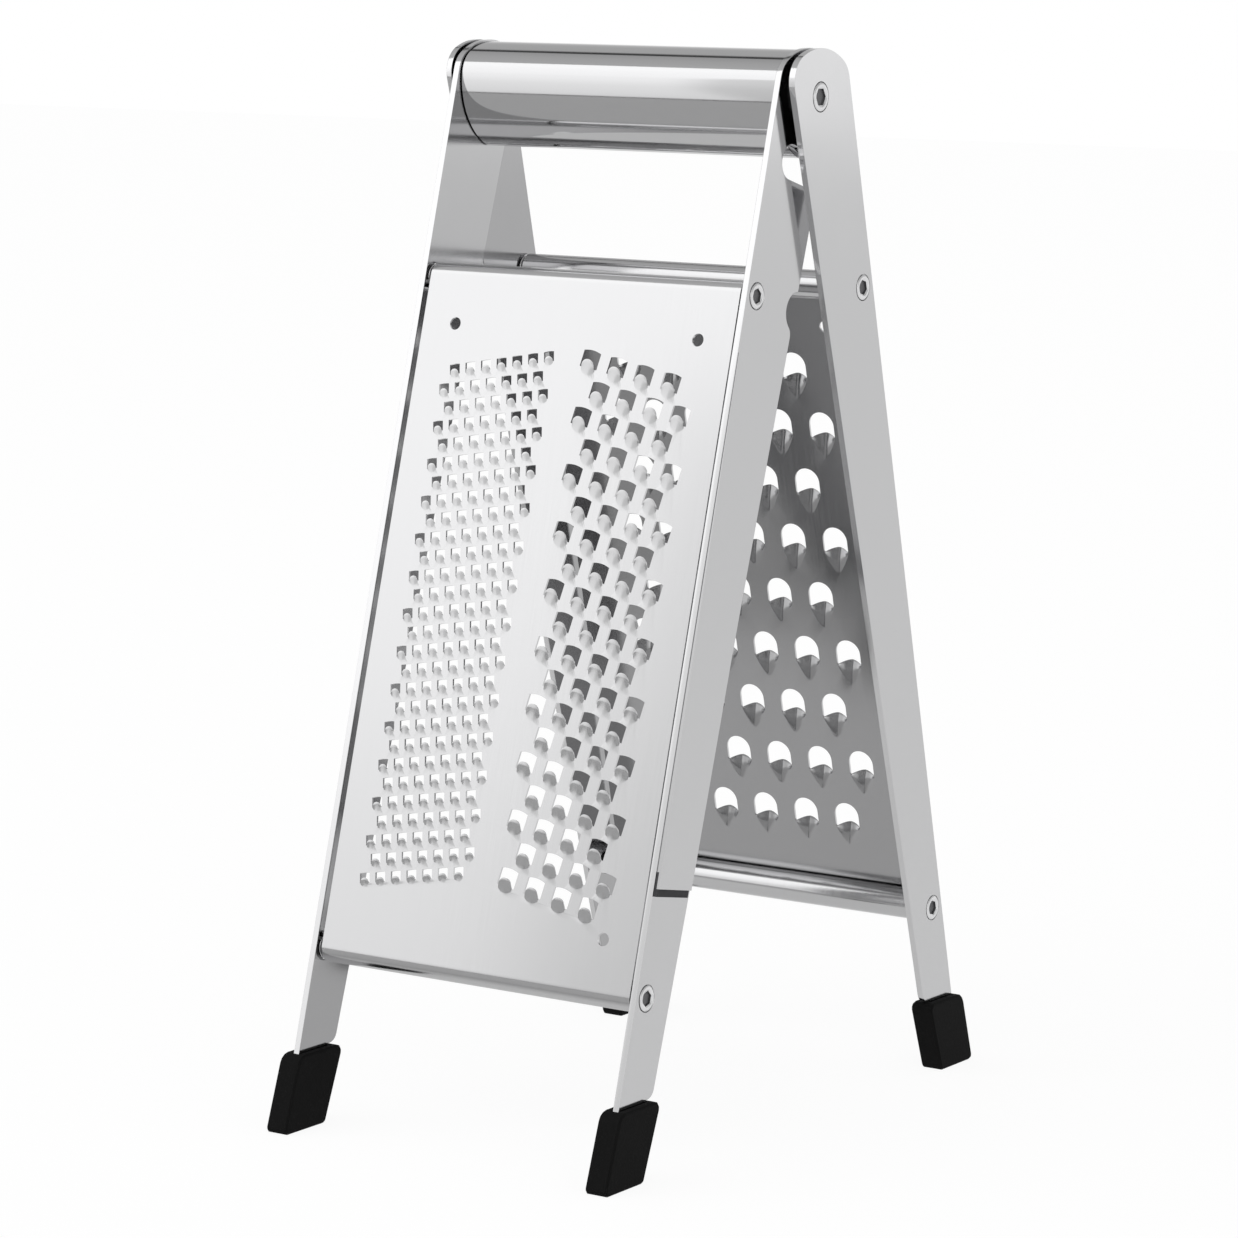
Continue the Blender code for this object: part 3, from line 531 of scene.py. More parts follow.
class PunchedSheet:
    """A steel sheet on one leg: points with an outside and an inside place, and faces over them."""

    def __init__(self, side, half_width):
        self.side = side
        self.half_width = half_width
        self.outside = []
        self.inside = []
        self.flat_places = []
        self.faces = []
        self.openings = []

    def add(self, x, outer, inner):
        """Add a point whose outer and inner places are given as (s, d), and return its index."""
        self.outside.append(leg_point(self.side, x, *outer))
        self.inside.append(leg_point(self.side, x, *inner))
        self.flat_places.append((x, outer[0]))
        return len(self.outside) - 1

    def add_flat(self, x, s, lift=0.0, thickness=SHEET):
        """Add a point of the flat sheet, pushed outwards by a lift."""
        return self.add(x, (s, PANEL_FACE + lift), (s, PANEL_FACE + lift - thickness))

    def punch_tooth(self, tooth, x, s, tilt):
        """Open one tooth: its lower edge is pushed out in an arch and ground thin."""
        half = tooth["width"] / 2
        foot = tooth["height"] / 2

        def point(u, v, lift=0.0, thickness=SHEET):
            return self.add_flat(x + u * math.cos(tilt) - v * math.sin(tilt),
                                 s + u * math.sin(tilt) + v * math.cos(tilt), lift, thickness)

        left = point(-half, foot)
        right = point(half, foot)
        rings = len(TOOTH_RINGS)
        columns = [[left] * rings]
        for i in range(tooth["columns"] + 1):
            across = -math.cos(math.pi * i / tooth["columns"])
            bulge = max(0, 1 - abs(across) ** tooth["fall"]) ** tooth["side"]
            edge = foot - tooth["arch"] * bulge
            end = foot + tooth["tip"] * (1 - abs(across * tooth["tongue"]) ** tooth["point"])
            column = []
            for down in TOOTH_RINGS:
                lift = tooth["lift"] * (1 - down) ** LIFT_FALL - (LIP if down == 0 else 0)
                lift *= bulge ** tooth["crest"]
                thickness = GROUND_EDGE + (SHEET - GROUND_EDGE) * min(1, GROUND_SLOPE * down)
                column.append(point(half * across * tooth["tongue"], edge + (end - edge) * down,
                                    lift, thickness))
            columns.append(column)
        columns.append([right] * rings)
        for near, far in zip(columns, columns[1:]):
            for ring in range(rings - 1):
                corners = (near[ring], far[ring], far[ring + 1], near[ring + 1])
                self.faces.append(tuple(dict.fromkeys(corners)))
        radius = (half ** 2 + tooth["crown"] ** 2) / (2 * tooth["crown"])
        spread = math.asin(min(1, half / radius))
        crown = []
        for i in range(tooth["columns"] + 1):
            turn = spread * (2 * i / tooth["columns"] - 1)
            crown.append(point(radius * math.sin(turn), radius * (1 - math.cos(turn)) - foot))
        self.openings.append(crown + [right] + [c[-1] for c in reversed(columns[1:-1])] + [left])

    def punch_field(self, field):
        """Punch staggered rows that lean by the field's tilt."""
        row_pitch = (field["bottom"] - field["top"]) / (field["rows"] - 1)
        slope = math.tan(field["tilt"])
        for row in range(field["rows"]):
            second = row % 2
            count = field["columns"] + field["extra"] * second
            shift = field["pitch"] * field["shift"] * (1 - 2 * second)
            for column in range(count):
                across = (column - (count - 1) / 2) * field["pitch"] + shift
                down = field["top"] + row * row_pitch + across * slope
                self.punch_tooth(field["tooth"], field["middle"] + across, down, field["tilt"])

    def punch_hole(self, x, s):
        """Punch one plain round hanging hole."""
        ring = []
        for k in range(HOLE_STEPS):
            turn = 2 * math.pi * k / HOLE_STEPS
            ring.append(self.add_flat(x + HANGING_RADIUS * math.cos(turn),
                                      s + HANGING_RADIUS * math.sin(turn)))
        self.openings.append(ring)

    def close_flat(self):
        """Cover the flat part between the rolls and return its four corners."""
        corners = [(-1, UPPER_BAR_DROP), (1, UPPER_BAR_DROP), (1, LOWER_BAR_DROP), (-1, LOWER_BAR_DROP)]
        border = [self.add_flat(hand * self.half_width, s) for hand, s in corners]
        loops = [border] + self.openings
        keys = [k for loop in loops for k in loop]
        outlines = [[self.flat_places[k] for k in loop] for loop in loops]
        for face in triangulate(outlines[0], outlines[1:]):
            self.faces.append(tuple(keys[c] for c in face))
        return border

    def roll_edge(self, start, hands, drop, way):
        """Roll the sheet's end round a crossbar, from the two points where the flat part ends."""
        row = start
        for step in range(1, ROLL_STEPS + 1):
            turn = ROLL_WRAP * step / ROLL_STEPS
            down, out = way * math.sin(turn), math.cos(turn)
            outer, inner = [(drop + radius * down, BAR_OFFSET + radius * out)
                            for radius in (ROLL_OUTER, ROLL_INNER)]
            after = [self.add(hand * self.half_width, outer, inner) for hand in hands]
            self.faces.append((row[0], after[0], after[1], row[1]))
            row = after

    def to_bmesh(self):
        """Close the sheet: both skins, and a wall along every free edge."""
        bm = bmesh.new()
        outer = [bm.verts.new(p) for p in self.outside]
        inner = [bm.verts.new(p) for p in self.inside]
        used = {(f[k - 1], f[k]) for f in self.faces for k in range(len(f))}
        for face in self.faces:
            bm.faces.new([outer[k] for k in face])
            bm.faces.new([inner[k] for k in reversed(face)]).material_index = 1
        for tail, head in used:
            if (head, tail) not in used:
                bm.faces.new([outer[head], outer[tail], inner[tail], inner[head]])
        return bm


def polished_rail(name, side, hand, outer, body, steels):
    """A rail with its three holes; the steels are for its outer face, inner face and edge."""
    is_front = side == FRONT
    outline = rail_outline(is_front, is_front and hand > 0)
    pivot_bore = PIVOT_BORE if is_front else PIVOT_HEAD["head"] + HEAD_GAP
    screw_bore = SCREW_HEAD["head"] + HEAD_GAP
    holes = []
    for place, bore in (((0, 0), pivot_bore), ((UPPER_BAR_DROP, BAR_OFFSET), screw_bore),
                        ((LOWER_BAR_DROP, BAR_OFFSET), screw_bore)):
        holes.append(arc(place, bore, 0, 2 * math.pi, LATHE_STEPS)[:-1])
    loops = [outline] + holes
    bm = bmesh.new()
    rings = [[bm.verts.new(leg_point(side, hand * x, s, d)) for loop in loops for s, d in loop]
             for x in (outer - RAIL_THICKNESS, outer)]
    for corners in triangulate(outline, holes):
        bm.faces.new([rings[0][c] for c in corners]).material_index = 1
        bm.faces.new([rings[1][c] for c in corners])
    for here, after in loop_edges(loops):
        wall = bm.faces.new([rings[0][here], rings[0][after], rings[1][after], rings[1][here]])
        wall.material_index = 2 if here < len(outline) else 0
    bmesh.ops.recalc_face_normals(bm, faces=bm.faces)
    bmesh.ops.dissolve_limit(bm, angle_limit=FLAT_ANGLE, verts=bm.verts, edges=bm.edges,
                             delimit={"MATERIAL", "NORMAL"})
    piece = new_piece(name, bm, steels, body)
    # The two wide faces are shaded flat, so that their many corners leave no dark line
    for face in piece.data.polygons:
        face.use_smooth = abs(face.normal.x) < WIDE_FACE
    return piece


def leg_block(bm, rises, drops, edges):
    """Add a block to the right front rail's outside.

    Rises are its heights at its upper and lower end, drops the (rear, front) places of these ends
    down the leg, and edges gives the (rear, front) offsets at a drop.
    """
    rings = []
    for rise, pair in zip(rises, drops):
        corners = ((0, 0), (0, 1), (rise, 1), (rise, 0))
        rings.append([bm.verts.new(leg_point(FRONT, STEP_INNER + x, pair[end], edges(pair[end])[end]))
                      for x, end in corners])
    bm.faces.new(rings[0])
    bm.faces.new(rings[1])
    for k in range(4):
        bm.faces.new([rings[0][k - 1], rings[0][k], rings[1][k], rings[1][k - 1]])


def rail_step(steel):
    """The step on the right front rail: a wedge that rises out of its outside."""
    bm = bmesh.new()
    leg_block(bm, STEP_RISE, ((STEP_TOP_DROP, STEP_TOP_DROP), STEP_END_DROP),
              lambda drop: (rear_edge(drop) + STEP_REAR_INSET, STEP_EDGE))
    return new_piece("front_right_rail_step", bm, (steel,), "front_frame")


def rail_pad(rubber):
    """The pad below the step's end, with a flap along its front edge: a painted shadow line in the gap."""
    bm = bmesh.new()
    rear_end, front_end = (drop + PAD_LENGTH for drop in STEP_END_DROP)
    leg_block(bm, (PAD_RISE, PAD_RISE), (STEP_END_DROP, (rear_end, front_end)),
              lambda drop: (rear_edge(drop) + PAD_REAR_INSET, STEP_EDGE))
    flap_top = STEP_END_DROP[1] - FLAP_LENGTH
    leg_block(bm, (FLAP_RISE, FLAP_RISE), ((flap_top, flap_top), (front_end, front_end)),
              lambda drop: FLAP_EDGES)
    return new_piece("front_right_rail_pad", bm, (rubber,), "front_frame")


def polished_tube(steel):
    """The handle tube with finely turned-in ends."""
    bm = bmesh.new()
    rings = []
    half = HANDLE_HALF
    for x, inset in ((-half, HANDLE_EDGE), (HANDLE_EDGE - half, 0), (half - HANDLE_EDGE, 0),
                     (half, HANDLE_EDGE), (half, HANDLE_WALL), (-half, HANDLE_WALL)):
        rings.append([bm.verts.new(HINGE + Vector((x, y, z))) for y, z in handle_section(inset)])
    for near, far in zip(rings, rings[1:] + rings[:1]):
        for k in range(len(near)):
            bm.faces.new([near[k - 1], near[k], far[k], far[k - 1]])
    return new_piece("polished_handle_tube", bm, (steel,), "front_frame")


def lathe(bm, profile, place, hexagonal):
    """Turn (x, radius) points about the X axis, and return the faces, band by band.

    Both ends lie on the axis, and the points numbered in hexagonal make hexagons.
    """
    rings = []
    for i, (x, radius) in enumerate(profile):
        if radius == 0:
            rings.append([bm.verts.new(place(x, 0, 0))])
            continue
        ring = []
        for k in range(LATHE_STEPS):
            turn = 2 * math.pi * k / LATHE_STEPS
            reach = radius
            if i in hexagonal:
                reach = radius * math.cos(math.pi / 6) / math.cos(turn % (math.pi / 3) - math.pi / 6)
            ring.append(bm.verts.new(place(x, reach * math.cos(turn), reach * math.sin(turn))))
        rings.append(ring)
    faces = []
    for near, far in zip(rings, rings[1:]):
        band = []
        for k in range(LATHE_STEPS):
            after = (k + 1) % LATHE_STEPS
            corners = [near[k % len(near)], near[after % len(near)],
                       far[after % len(far)], far[k % len(far)]]
            band.append(bm.faces.new(list(dict.fromkeys(corners))))
        faces.append(band)
    return faces


def socket_screw(name, size, outer, hand, place, steels, body):
    """A screw with a flat head and a broached hexagon socket, turned on its rail's outer face."""
    profile = [(x * MM, radius * MM) for x, radius in SHANK]
    profile += [(x * MM, size["head"] + beyond * MM) for x, beyond in HEAD_RIM]
    profile += [(x * MM, size["socket"] + beyond * MM) for x, beyond in SOCKET_MOUTH]
    profile.append((SOCKET_FLOOR * MM, 0))
    # The socket's wall runs between the third and the second point from the end
    wall = len(profile) - 3
    bm = bmesh.new()
    bands = lathe(bm, profile, lambda x, a, b: place(hand * (outer + x), a, b), (wall, wall + 1))
    for band in bands[wall:]:
        for face in band:
            face.material_index = 1
    piece = new_piece(name, bm, steels, body)
    even_normals(piece)
    return piece


def brushed_sheet(name, colour):
    """Finely brushed stainless steel sheet: straight scratches down the sheet over a bright gloss."""
    material, tree, place = new_material(name)
    stretch = add_node(tree, "ShaderNodeMapping", {"Vector": place, "Scale": BRUSH_SCALE})
    grain = add_node(tree, "ShaderNodeTexNoise", {"Vector": stretch, "Scale": 1.0, "Detail": 3.0})
    rough = add_node(tree, "ShaderNodeMapRange", {
        "Value": grain, "From Min": BRUSH_SPAN[0], "From Max": BRUSH_SPAN[1],
        "To Min": BRUSH_ROUGHNESS[0], "To Max": BRUSH_ROUGHNESS[1]})
    bump = add_node(tree, "ShaderNodeBump", {
        "Height": grain, "Strength": BRUSH_STRENGTH, "Distance": BRUSH_DEPTH})
    shader = add_node(tree, "ShaderNodeBsdfPrincipled", {
        "Base Color": colour, "Metallic": 1.0, "Roughness": rough, "Normal": bump})
    add_node(tree, "ShaderNodeOutputMaterial", {"Surface": shader})
    return material


def polished_steel(name, colour, roughness):
    """Polished stainless steel: mirrors the studio softly, with faint uneven patches."""
    material, tree, place = new_material(name)
    patch = add_node(tree, "ShaderNodeTexNoise", {"Vector": place, "Scale": CLOUD_SCALE, "Detail": 2.0})
    rough = add_node(tree, "ShaderNodeMapRange", {
        "Value": patch, "To Min": roughness[0], "To Max": sum(roughness)})
    shader = add_node(tree, "ShaderNodeBsdfPrincipled", {
        "Base Color": colour, "Metallic": 1.0, "Roughness": rough})
    add_node(tree, "ShaderNodeOutputMaterial", {"Surface": shader})
    return material


def moulded_rubber(name, colour):
    """Moulded rubber: matt, with a very fine pebbled skin."""
    material, tree, place = new_material(name)
    pebbles = add_node(tree, "ShaderNodeTexNoise", {
        "Vector": place, "Scale": PEBBLE_SCALE, "Detail": 2.0})
    bump = add_node(tree, "ShaderNodeBump", {
        "Height": pebbles, "Strength": PEBBLE_STRENGTH, "Distance": PEBBLE_DEPTH})
    shader = add_node(tree, "ShaderNodeBsdfPrincipled", {
        "Base Color": colour, "Roughness": RUBBER_ROUGHNESS, "Specular IOR Level": RUBBER_SPECULAR,
        "Normal": bump})
    add_node(tree, "ShaderNodeOutputMaterial", {"Surface": shader})
    return material


def make_camera():
    """The camera at the photograph's place and angle."""
    data = bpy.data.cameras.new("camera")
    data.sensor_width = SENSOR_MM
    data.lens = FOCAL_PIXELS / PHOTO_SIDE * SENSOR_MM
    camera = add_object("camera", data)
    turn = (Matrix.Rotation(CAMERA_AZIMUTH, 4, "Z")
            @ Matrix.Rotation(math.pi / 2 - CAMERA_ELEVATION, 4, "X")
            @ Matrix.Rotation(CAMERA_ROLL, 4, "Z"))
    camera.matrix_world = Matrix.Translation(HINGE + CAMERA_PLACE) @ turn
    bpy.context.scene.camera = camera


def ray_and_axes(tree, place):
    """Outputs that say which kind of ray sees a point, and the X, Y and Z of its place."""
    ray = add_node(tree, "ShaderNodeLightPath")
    axes = add_node(tree, "ShaderNodeSeparateXYZ", {0: place})
    return ray.outputs, axes.outputs


def fill_ramp(ramp, levels):
    """Set a colour ramp to greys, given as (place, level) pairs."""
    stops = ramp.color_ramp.elements
    for place, level in levels:
        stop = stops.new(place)
        stop.color = (level, level, level, 1)
    stops.remove(stops[0])
    stops.remove(stops[len(stops) - 1])


def make_world():
    """A white surround for the camera, and a studio of soft bands for light and gloss."""
    world = bpy.data.worlds.new("studio")
    world.use_nodes = True
    bpy.context.scene.world = world
    tree = world.node_tree
    tree.nodes.clear()
    ray, axes = ray_and_axes(tree, add_node(tree, "ShaderNodeTexCoord").outputs["Generated"])
    ahead = add_node(tree, "ShaderNodeMath", {0: axes["Y"], 1: -1.0}, operation="MULTIPLY")
    turn = add_node(tree, "ShaderNodeMath", {0: axes["Z"], 1: ahead}, operation="ARCTAN2")
    share = add_node(tree, "ShaderNodeMapRange", {"Value": turn, "From Max": math.pi})
    bands = add_node(tree, "ShaderNodeValToRGB", {"Fac": share})
    fill_ramp(bands, [(angle / 180, level) for angle, level in STUDIO_BANDS])
    studio = add_node(tree, "ShaderNodeBackground", {"Color": bands, "Strength": STUDIO_PEAK})
    white = add_node(tree, "ShaderNodeBackground", {"Color": WHITE, "Strength": 1.0})
    behind = add_node(tree, "ShaderNodeMapRange", {
        "Value": turn, "From Min": math.radians(BACKDROP_FROM),
        "From Max": math.radians(BACKDROP_FULL)})
    mirrored = add_node(tree, "ShaderNodeMath", {
        0: ray["Is Glossy Ray"], 1: behind}, operation="MULTIPLY")
    seen = add_node(tree, "ShaderNodeMath", {
        0: ray["Is Camera Ray"], 1: ray["Is Transmission Ray"]}, operation="MAXIMUM")
    shown = add_node(tree, "ShaderNodeMath", {0: seen, 1: mirrored}, operation="MAXIMUM")
    mixed = add_node(tree, "ShaderNodeMixShader", {0: shown, 1: studio, 2: white})
    add_node(tree, "ShaderNodeOutputWorld", {"Surface": mixed})


def make_floor():
    """White paper that keeps a faint shadow and glows for the camera; gloss sees painted shade on it."""
    bm = bmesh.new()
    bmesh.ops.create_grid(bm, x_segments=1, y_segments=1, size=FLOOR_HALF)
    floor = add_mesh("floor", bm)
    material, tree, place = new_material("white_paper")
    ray, axes = ray_and_axes(tree, place)
    levels = []
    for axis, middle, half, edge, inside, outside in PAPER_STRETCHES:
        offset = add_node(tree, "ShaderNodeMath", {0: axes[axis], 1: middle}, operation="SUBTRACT")
        reach = add_node(tree, "ShaderNodeMath", {0: offset}, operation="ABSOLUTE")
        levels.append(add_node(tree, "ShaderNodeMapRange", {
            "Value": reach, "From Min": half, "From Max": half + edge,
            "To Min": inside, "To Max": outside}))
    band, aside, along = levels
    clear = add_node(tree, "ShaderNodeMath", {0: aside, 1: along}, operation="MAXIMUM")
    # A painted shadow under and beside the grater, which only gloss sees
    shadow_patch = add_node(tree, "ShaderNodeMapRange", {"Value": clear, "To Min": PAPER_SHADOW_LEVEL})
    level = add_node(tree, "ShaderNodeMath", {0: band, 1: shadow_patch}, operation="MULTIPLY")
    paper = add_node(tree, "ShaderNodeBsdfDiffuse", {"Color": linear(PAPER_COLOUR)})
    glow = add_node(tree, "ShaderNodeEmission", {"Color": WHITE, "Strength": PAPER_BRIGHT})
    gloss = add_node(tree, "ShaderNodeEmission", {"Color": WHITE, "Strength": level})
    seen = add_node(tree, "ShaderNodeMath", {
        0: ray["Is Camera Ray"], 1: ray["Is Transmission Ray"]}, operation="MAXIMUM")
    share = add_node(tree, "ShaderNodeMath", {0: seen, 1: PAPER_GLOW}, operation="MULTIPLY")
    mirrored = add_node(tree, "ShaderNodeMath", {
        0: ray["Is Glossy Ray"], 1: PAPER_GLOW}, operation="MULTIPLY")
    lit = add_node(tree, "ShaderNodeMixShader", {0: share, 1: paper, 2: glow})
    mixed = add_node(tree, "ShaderNodeMixShader", {0: mirrored, 1: lit, 2: gloss})
    add_node(tree, "ShaderNodeOutputMaterial", {"Surface": mixed})
    dress(floor, material)


def make_card():
    """The white card in front, which only gloss sees."""
    bm = bmesh.new()
    corners = ((CARD_LEFT, 0), (CARD_RIGHT, 0), (CARD_RIGHT, CARD_HEIGHT), (CARD_LEFT, CARD_HEIGHT))
    bm.faces.new([bm.verts.new((x, -CARD_DISTANCE, z)) for x, z in corners])
    card = add_mesh("front_card", bm)
    material, tree, place = new_material("glowing_white_card")
    ray, axes = ray_and_axes(tree, place)
    share = add_node(tree, "ShaderNodeMapRange", {"Value": axes["Z"], "From Max": CARD_HEIGHT})
    ramp = add_node(tree, "ShaderNodeValToRGB", {"Fac": share})
    fill_ramp(ramp, CARD_RAMP)
    aside, below = [add_node(tree, "ShaderNodeMapRange", {
        "Value": axes[axis], "From Min": start, "From Max": end}, interpolation_type="SMOOTHSTEP")
        for axis, (start, end) in (("X", CARD_SHADE_X), ("Z", CARD_SHADE_Z))]
    shade = add_node(tree, "ShaderNodeMath", {0: aside, 1: below}, operation="MULTIPLY")
    level = add_node(tree, "ShaderNodeMapRange", {
        "Value": shade, "To Min": CARD_PEAK, "To Max": CARD_PEAK * CARD_SHADE})
    glow = add_node(tree, "ShaderNodeEmission", {"Color": ramp, "Strength": level})
    clear = add_node(tree, "ShaderNodeBsdfTransparent")
    mixed = add_node(tree, "ShaderNodeMixShader", {0: ray["Is Glossy Ray"], 1: clear, 2: glow})
    add_node(tree, "ShaderNodeOutputMaterial", {"Surface": mixed})
    dress(card, material)


def make_lamp():
    """A square soft box that lights what is matt; steel mirrors the card instead."""
    data = bpy.data.lights.new("key_box", "AREA")
    data.shape = "SQUARE"
    data.size = KEY_SIZE
    data.energy = KEY_POWER
    lamp = add_object("key_box", data)
    lamp.location = KEY_PLACE
    lamp.visible_glossy = False
    lamp.rotation_mode = "QUATERNION"
    lamp.rotation_quaternion = (KEY_AIM - KEY_PLACE).to_track_quat("-Z", "Y")


def colour_setting(name, description, code):
    """A colour that the user can change, and the hex colour that it starts from."""
    return bpy.props.FloatVectorProperty(name=name, description=description, subtype="COLOR", size=4,
                                         min=0, max=1, default=linear(code))


class GraterFinish(bpy.types.PropertyGroup):
    """Colours and edge sizes of the grater's finishes"""

    sheet_colour: colour_setting("Sheet", "Colour of the brushed sheet", SHEET_COLOUR)
    sheet_inner_colour: colour_setting(
        "Sheet inside", "Colour of the sheet's duller inner side", SHEET_INNER_COLOUR)
    rail_colour: colour_setting("Rails", "Colour of the polished rails", RAIL_COLOUR)
    rail_edge_highlight_colour: colour_setting("Rail edges", "Colour of the rails' ground edges", RAIL_EDGE_HIGHLIGHT_COLOUR)
    rail_inner_shade_colour: colour_setting(
        "Front rails inside", "Colour of the front rails' inner faces", RAIL_INNER_SHADE_COLOUR)
    back_inner_shade_colour: colour_setting(
        "Back rails inside", "Colour of the back rails' inner faces", BACK_INNER_SHADE_COLOUR)
    tube_colour: colour_setting("Handle", "Colour of the polished handle tube", TUBE_COLOUR)
    head_highlight_colour: colour_setting("Screw heads", "Colour of the screws' turned heads", HEAD_HIGHLIGHT_COLOUR)
    socket_shade_colour: colour_setting("Sockets", "Colour of the screws' broached sockets", SOCKET_SHADE_COLOUR)
    fitting_colour: colour_setting("Fittings", "Colour of the crossbars, washers and plugs", FITTING_COLOUR)
    rubber_colour: colour_setting("Rubber", "Colour of the boots", RUBBER_COLOUR)
    pad_and_gap_shadow_colour: colour_setting("Pad", "Colour of the pad below the rail's step", PAD_AND_GAP_SHADOW_COLOUR)
    rail_edge: bpy.props.FloatProperty(
        name="Rail edge", description="Rounding of the rails' polished edges", subtype="DISTANCE",
        min=0, max=0.6 * MM, default=0.25 * MM)
    boot_edge: bpy.props.FloatProperty(
        name="Boot edge", description="Rounding of the boots' edges", subtype="DISTANCE",
        min=0, max=1.0 * MM, default=0.3 * MM)


class GRATER_OT_rails(bpy.types.Operator):
    """Polish the four rails, round their edges and add the step and pad"""

    bl_idname = "grater.rails"
    bl_label = "Rails"

    def execute(self, context):
        finish = context.scene.grater_finish
        # Rolled flat bar, polished after cutting: even, soft greys of the studio
        outside = polished_steel("polished_stainless_flat_bar", finish.rail_colour, RAIL_ROUGHNESS)
        # Its edges are ground last; their colour is painted lighter as a highlight along them
        edge = polished_steel("ground_edge_painted_highlight", finish.rail_edge_highlight_colour, RAIL_ROUGHNESS)
        # The inner faces are painted darker as shade between the frames, the back ones darkest
        shaded_insides = (polished_steel("front_inner_flat_bar_painted_shade", finish.rail_inner_shade_colour, RAIL_ROUGHNESS),
                   polished_steel("back_inner_flat_bar_painted_shade", finish.back_inner_shade_colour, RAIL_ROUGHNESS))
        for (side, label, face), inside in zip(FRAMES, shaded_insides):
            for hand, hand_name in HANDS:
                piece = polished_rail(f"{label}_{hand_name}_polished_rail", side, hand, face,
                                      f"{label}_frame", (outside, inside, edge))
                round_edges(piece, finish.rail_edge)
                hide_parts(f"{label}_{hand_name}_rail")
        rail_step(outside)
        # Grey rubber, moulded: dull, without a highlight; its flap is a painted shadow line in the gap
        # along the step's front edge
        rail_pad(moulded_rubber("grey_rubber_pad_and_gap_shadow", finish.pad_and_gap_shadow_colour))
        return {"FINISHED"}


class GRATER_OT_panels(bpy.types.Operator):
    """Punch and roll the two panels"""

    bl_idname = "grater.panels"
    bl_label = "Panels"

    def execute(self, context):
        finish = context.scene.grater_finish
        # Brushed down its length after punching: a bright face whose greys change with height
        outside = brushed_sheet("brushed_stainless_sheet", finish.sheet_colour)
        # The inner side: the same sheen, darker
        inside = brushed_sheet("darker_inner_stainless_sheet", finish.sheet_inner_colour)
        for side, label, half_width, fields, holes in PANELS:
            sheet = PunchedSheet(side, half_width)
            for field in fields:
                sheet.punch_field(field)
            for x, s in holes:
                sheet.punch_hole(x, s)
            border = sheet.close_flat()
            sheet.roll_edge((border[0], border[1]), (-1, 1), UPPER_BAR_DROP, -1)
            sheet.roll_edge((border[2], border[3]), (1, -1), LOWER_BAR_DROP, 1)
            piece = new_piece(f"{label}_punched_sheet", sheet.to_bmesh(), (outside, inside),
                              f"{label}_frame")
            even_normals(piece)
            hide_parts(f"{label}_panel")
        return {"FINISHED"}


class GRATER_OT_fittings(bpy.types.Operator):
    """Turn the screws and finish the crossbars, washers and plugs"""

    bl_idname = "grater.fittings"
    bl_label = "Fittings"

    def execute(self, context):
        finish = context.scene.grater_finish
        # Turned on a lathe and left so: a softer gloss than the rails
        steel = polished_steel("turned_stainless_steel", finish.fitting_colour, FITTING_ROUGHNESS)
        for node in sorted(frame["nodes"]):
            if node.endswith(("_crossbar", "_washer", "_plug")):
                dress(frame["nodes"][node], steel)
        # Heads with turned slopes; their colour is painted lighter as a highlight ring, and the socket's
        # darker as shade in its recess
        head = polished_steel("turned_screw_head_painted_highlight", finish.head_highlight_colour, HEAD_ROUGHNESS)
        socket = polished_steel("broached_socket_painted_shade", finish.socket_shade_colour, SOCKET_ROUGHNESS)
        for hand, hand_name in HANDS:
            piece = socket_screw(f"{hand_name}_pivot_socket_screw", PIVOT_HEAD, BACK_RAIL_FACE, hand,
                                 lambda x, a, b: HINGE + Vector((x, a, b)), (head, socket),
                                 "front_frame")
            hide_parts(f"{hand_name}_pivot_screw")
            for side, label, face in FRAMES:
                for level, drop in (("upper", UPPER_BAR_DROP), ("lower", LOWER_BAR_DROP)):
                    piece = socket_screw(
                        f"{label}_{level}_{hand_name}_socket_screw", SCREW_HEAD, face, hand,
                        lambda x, a, b: leg_point(side, x, drop + a, BAR_OFFSET + b), (head, socket),
                        f"{label}_frame")
                    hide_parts(f"{label}_{level}_{hand_name}_screw")
        return {"FINISHED"}


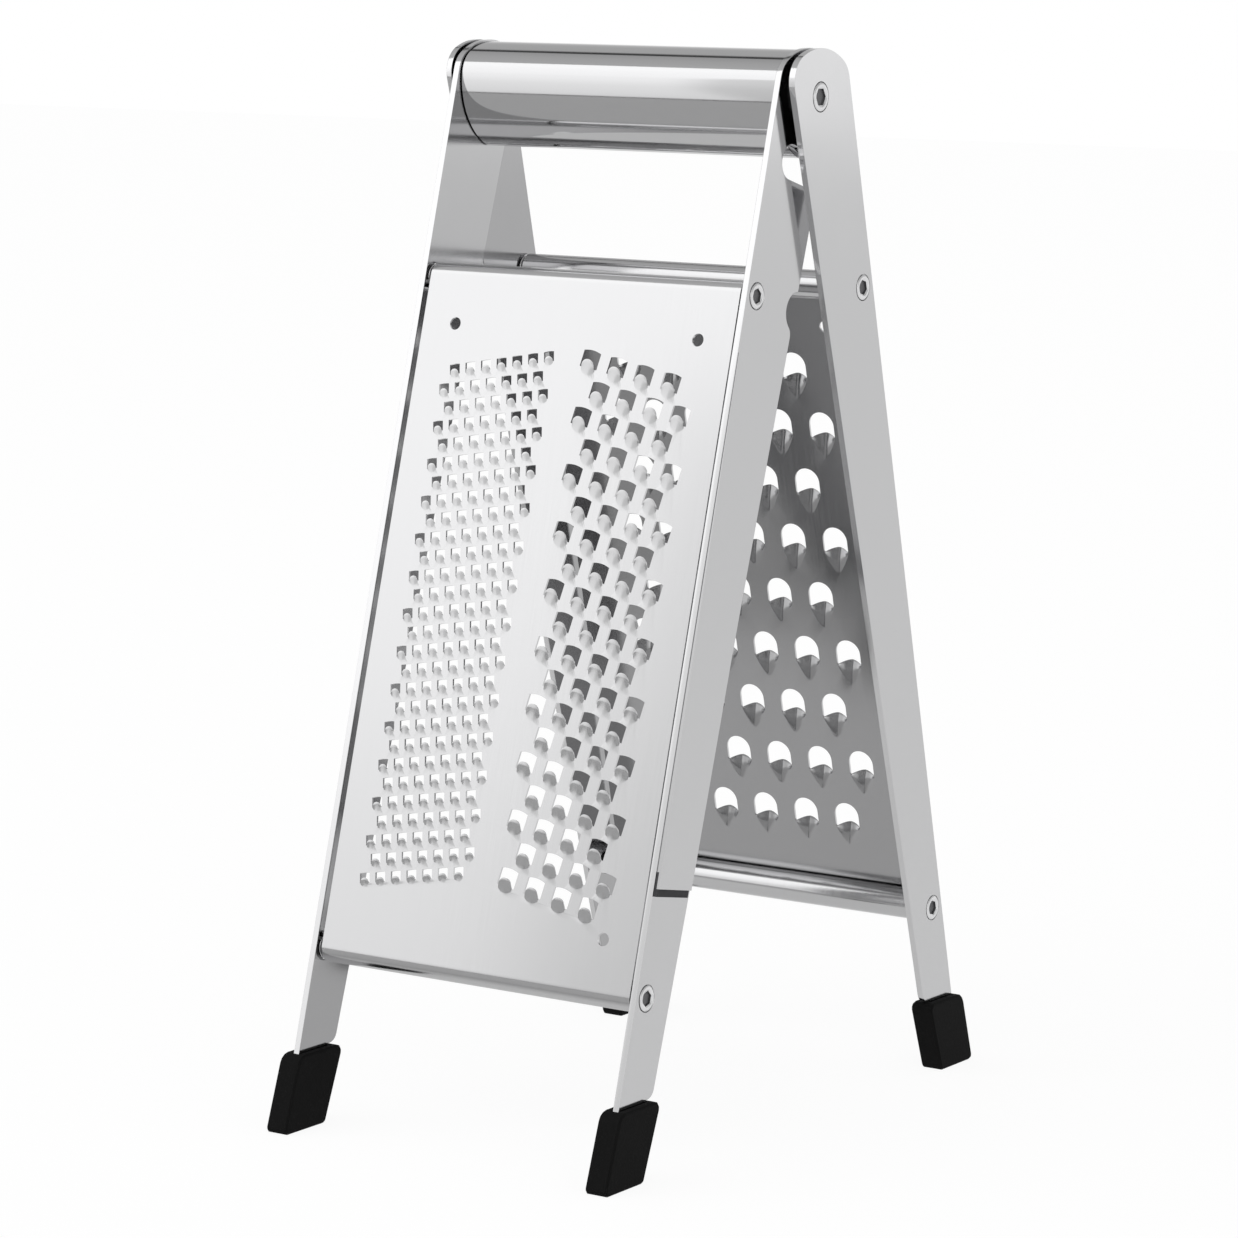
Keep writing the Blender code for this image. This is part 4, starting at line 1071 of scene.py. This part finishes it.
class GRATER_OT_handle(bpy.types.Operator):
    """Polish the handle tube"""

    bl_idname = "grater.handle"
    bl_label = "Handle"

    def execute(self, context):
        finish = context.scene.grater_finish
        # Drawn tube, mirror polished: sharp light and dark bands along the handle
        steel = polished_steel("mirror_polished_stainless_tube", finish.tube_colour, TUBE_ROUGHNESS)
        piece = polished_tube(steel)
        even_normals(piece)
        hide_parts("handle_tube")
        return {"FINISHED"}


class GRATER_OT_boots(bpy.types.Operator):
    """Finish the rubber boots"""

    bl_idname = "grater.boots"
    bl_label = "Boots"

    def execute(self, context):
        finish = context.scene.grater_finish
        # Black rubber as it leaves its mould: deep black with a dull, fine grain
        rubber = moulded_rubber("moulded_black_rubber", finish.rubber_colour)
        for node in sorted(n for n in frame["nodes"] if n.endswith("_boot")):
            dress(frame["nodes"][node], rubber)
            round_edges(frame["nodes"][node], finish.boot_edge)
        return {"FINISHED"}


class GRATER_OT_stage(bpy.types.Operator):
    """Set up the floor, the soft light and the camera"""

    bl_idname = "grater.stage"
    bl_label = "Stage"

    def execute(self, context):
        context.scene.view_settings.view_transform = "Standard"
        make_world()
        make_floor()
        make_card()
        make_camera()
        make_lamp()
        return {"FINISHED"}


class GRATER_PT_sidebar(bpy.types.Panel):
    """The grater's pieces and finishes in the sidebar"""

    bl_idname = "GRATER_PT_sidebar"
    bl_label = "Folding Grater"
    bl_space_type = "VIEW_3D"
    bl_region_type = "UI"
    bl_category = "Grater"

    def draw(self, context):
        finish = context.scene.grater_finish
        for name in finish.__annotations__:
            self.layout.prop(finish, name)
        for operator in OPERATORS:
            self.layout.operator(operator.bl_idname)


OPERATORS = (GRATER_OT_rails, GRATER_OT_panels, GRATER_OT_fittings, GRATER_OT_handle,
             GRATER_OT_boots, GRATER_OT_stage)
CLASSES = (GraterFinish,) + OPERATORS + (GRATER_PT_sidebar,)


def register():
    """Register the classes and attach their settings to the scene."""
    for cls in CLASSES:
        bpy.utils.register_class(cls)
    bpy.types.Scene.grater_finish = bpy.props.PointerProperty(type=GraterFinish)


def unregister():
    """Take the settings and the classes away again."""
    del bpy.types.Scene.grater_finish
    for cls in reversed(CLASSES):
        bpy.utils.unregister_class(cls)


def main():
    """Dress every piece and set the stage."""
    register()
    for operator in OPERATORS:
        group, name = operator.bl_idname.split(".")
        getattr(getattr(bpy.ops, group), name)()


if __name__ == "__main__":
    main()
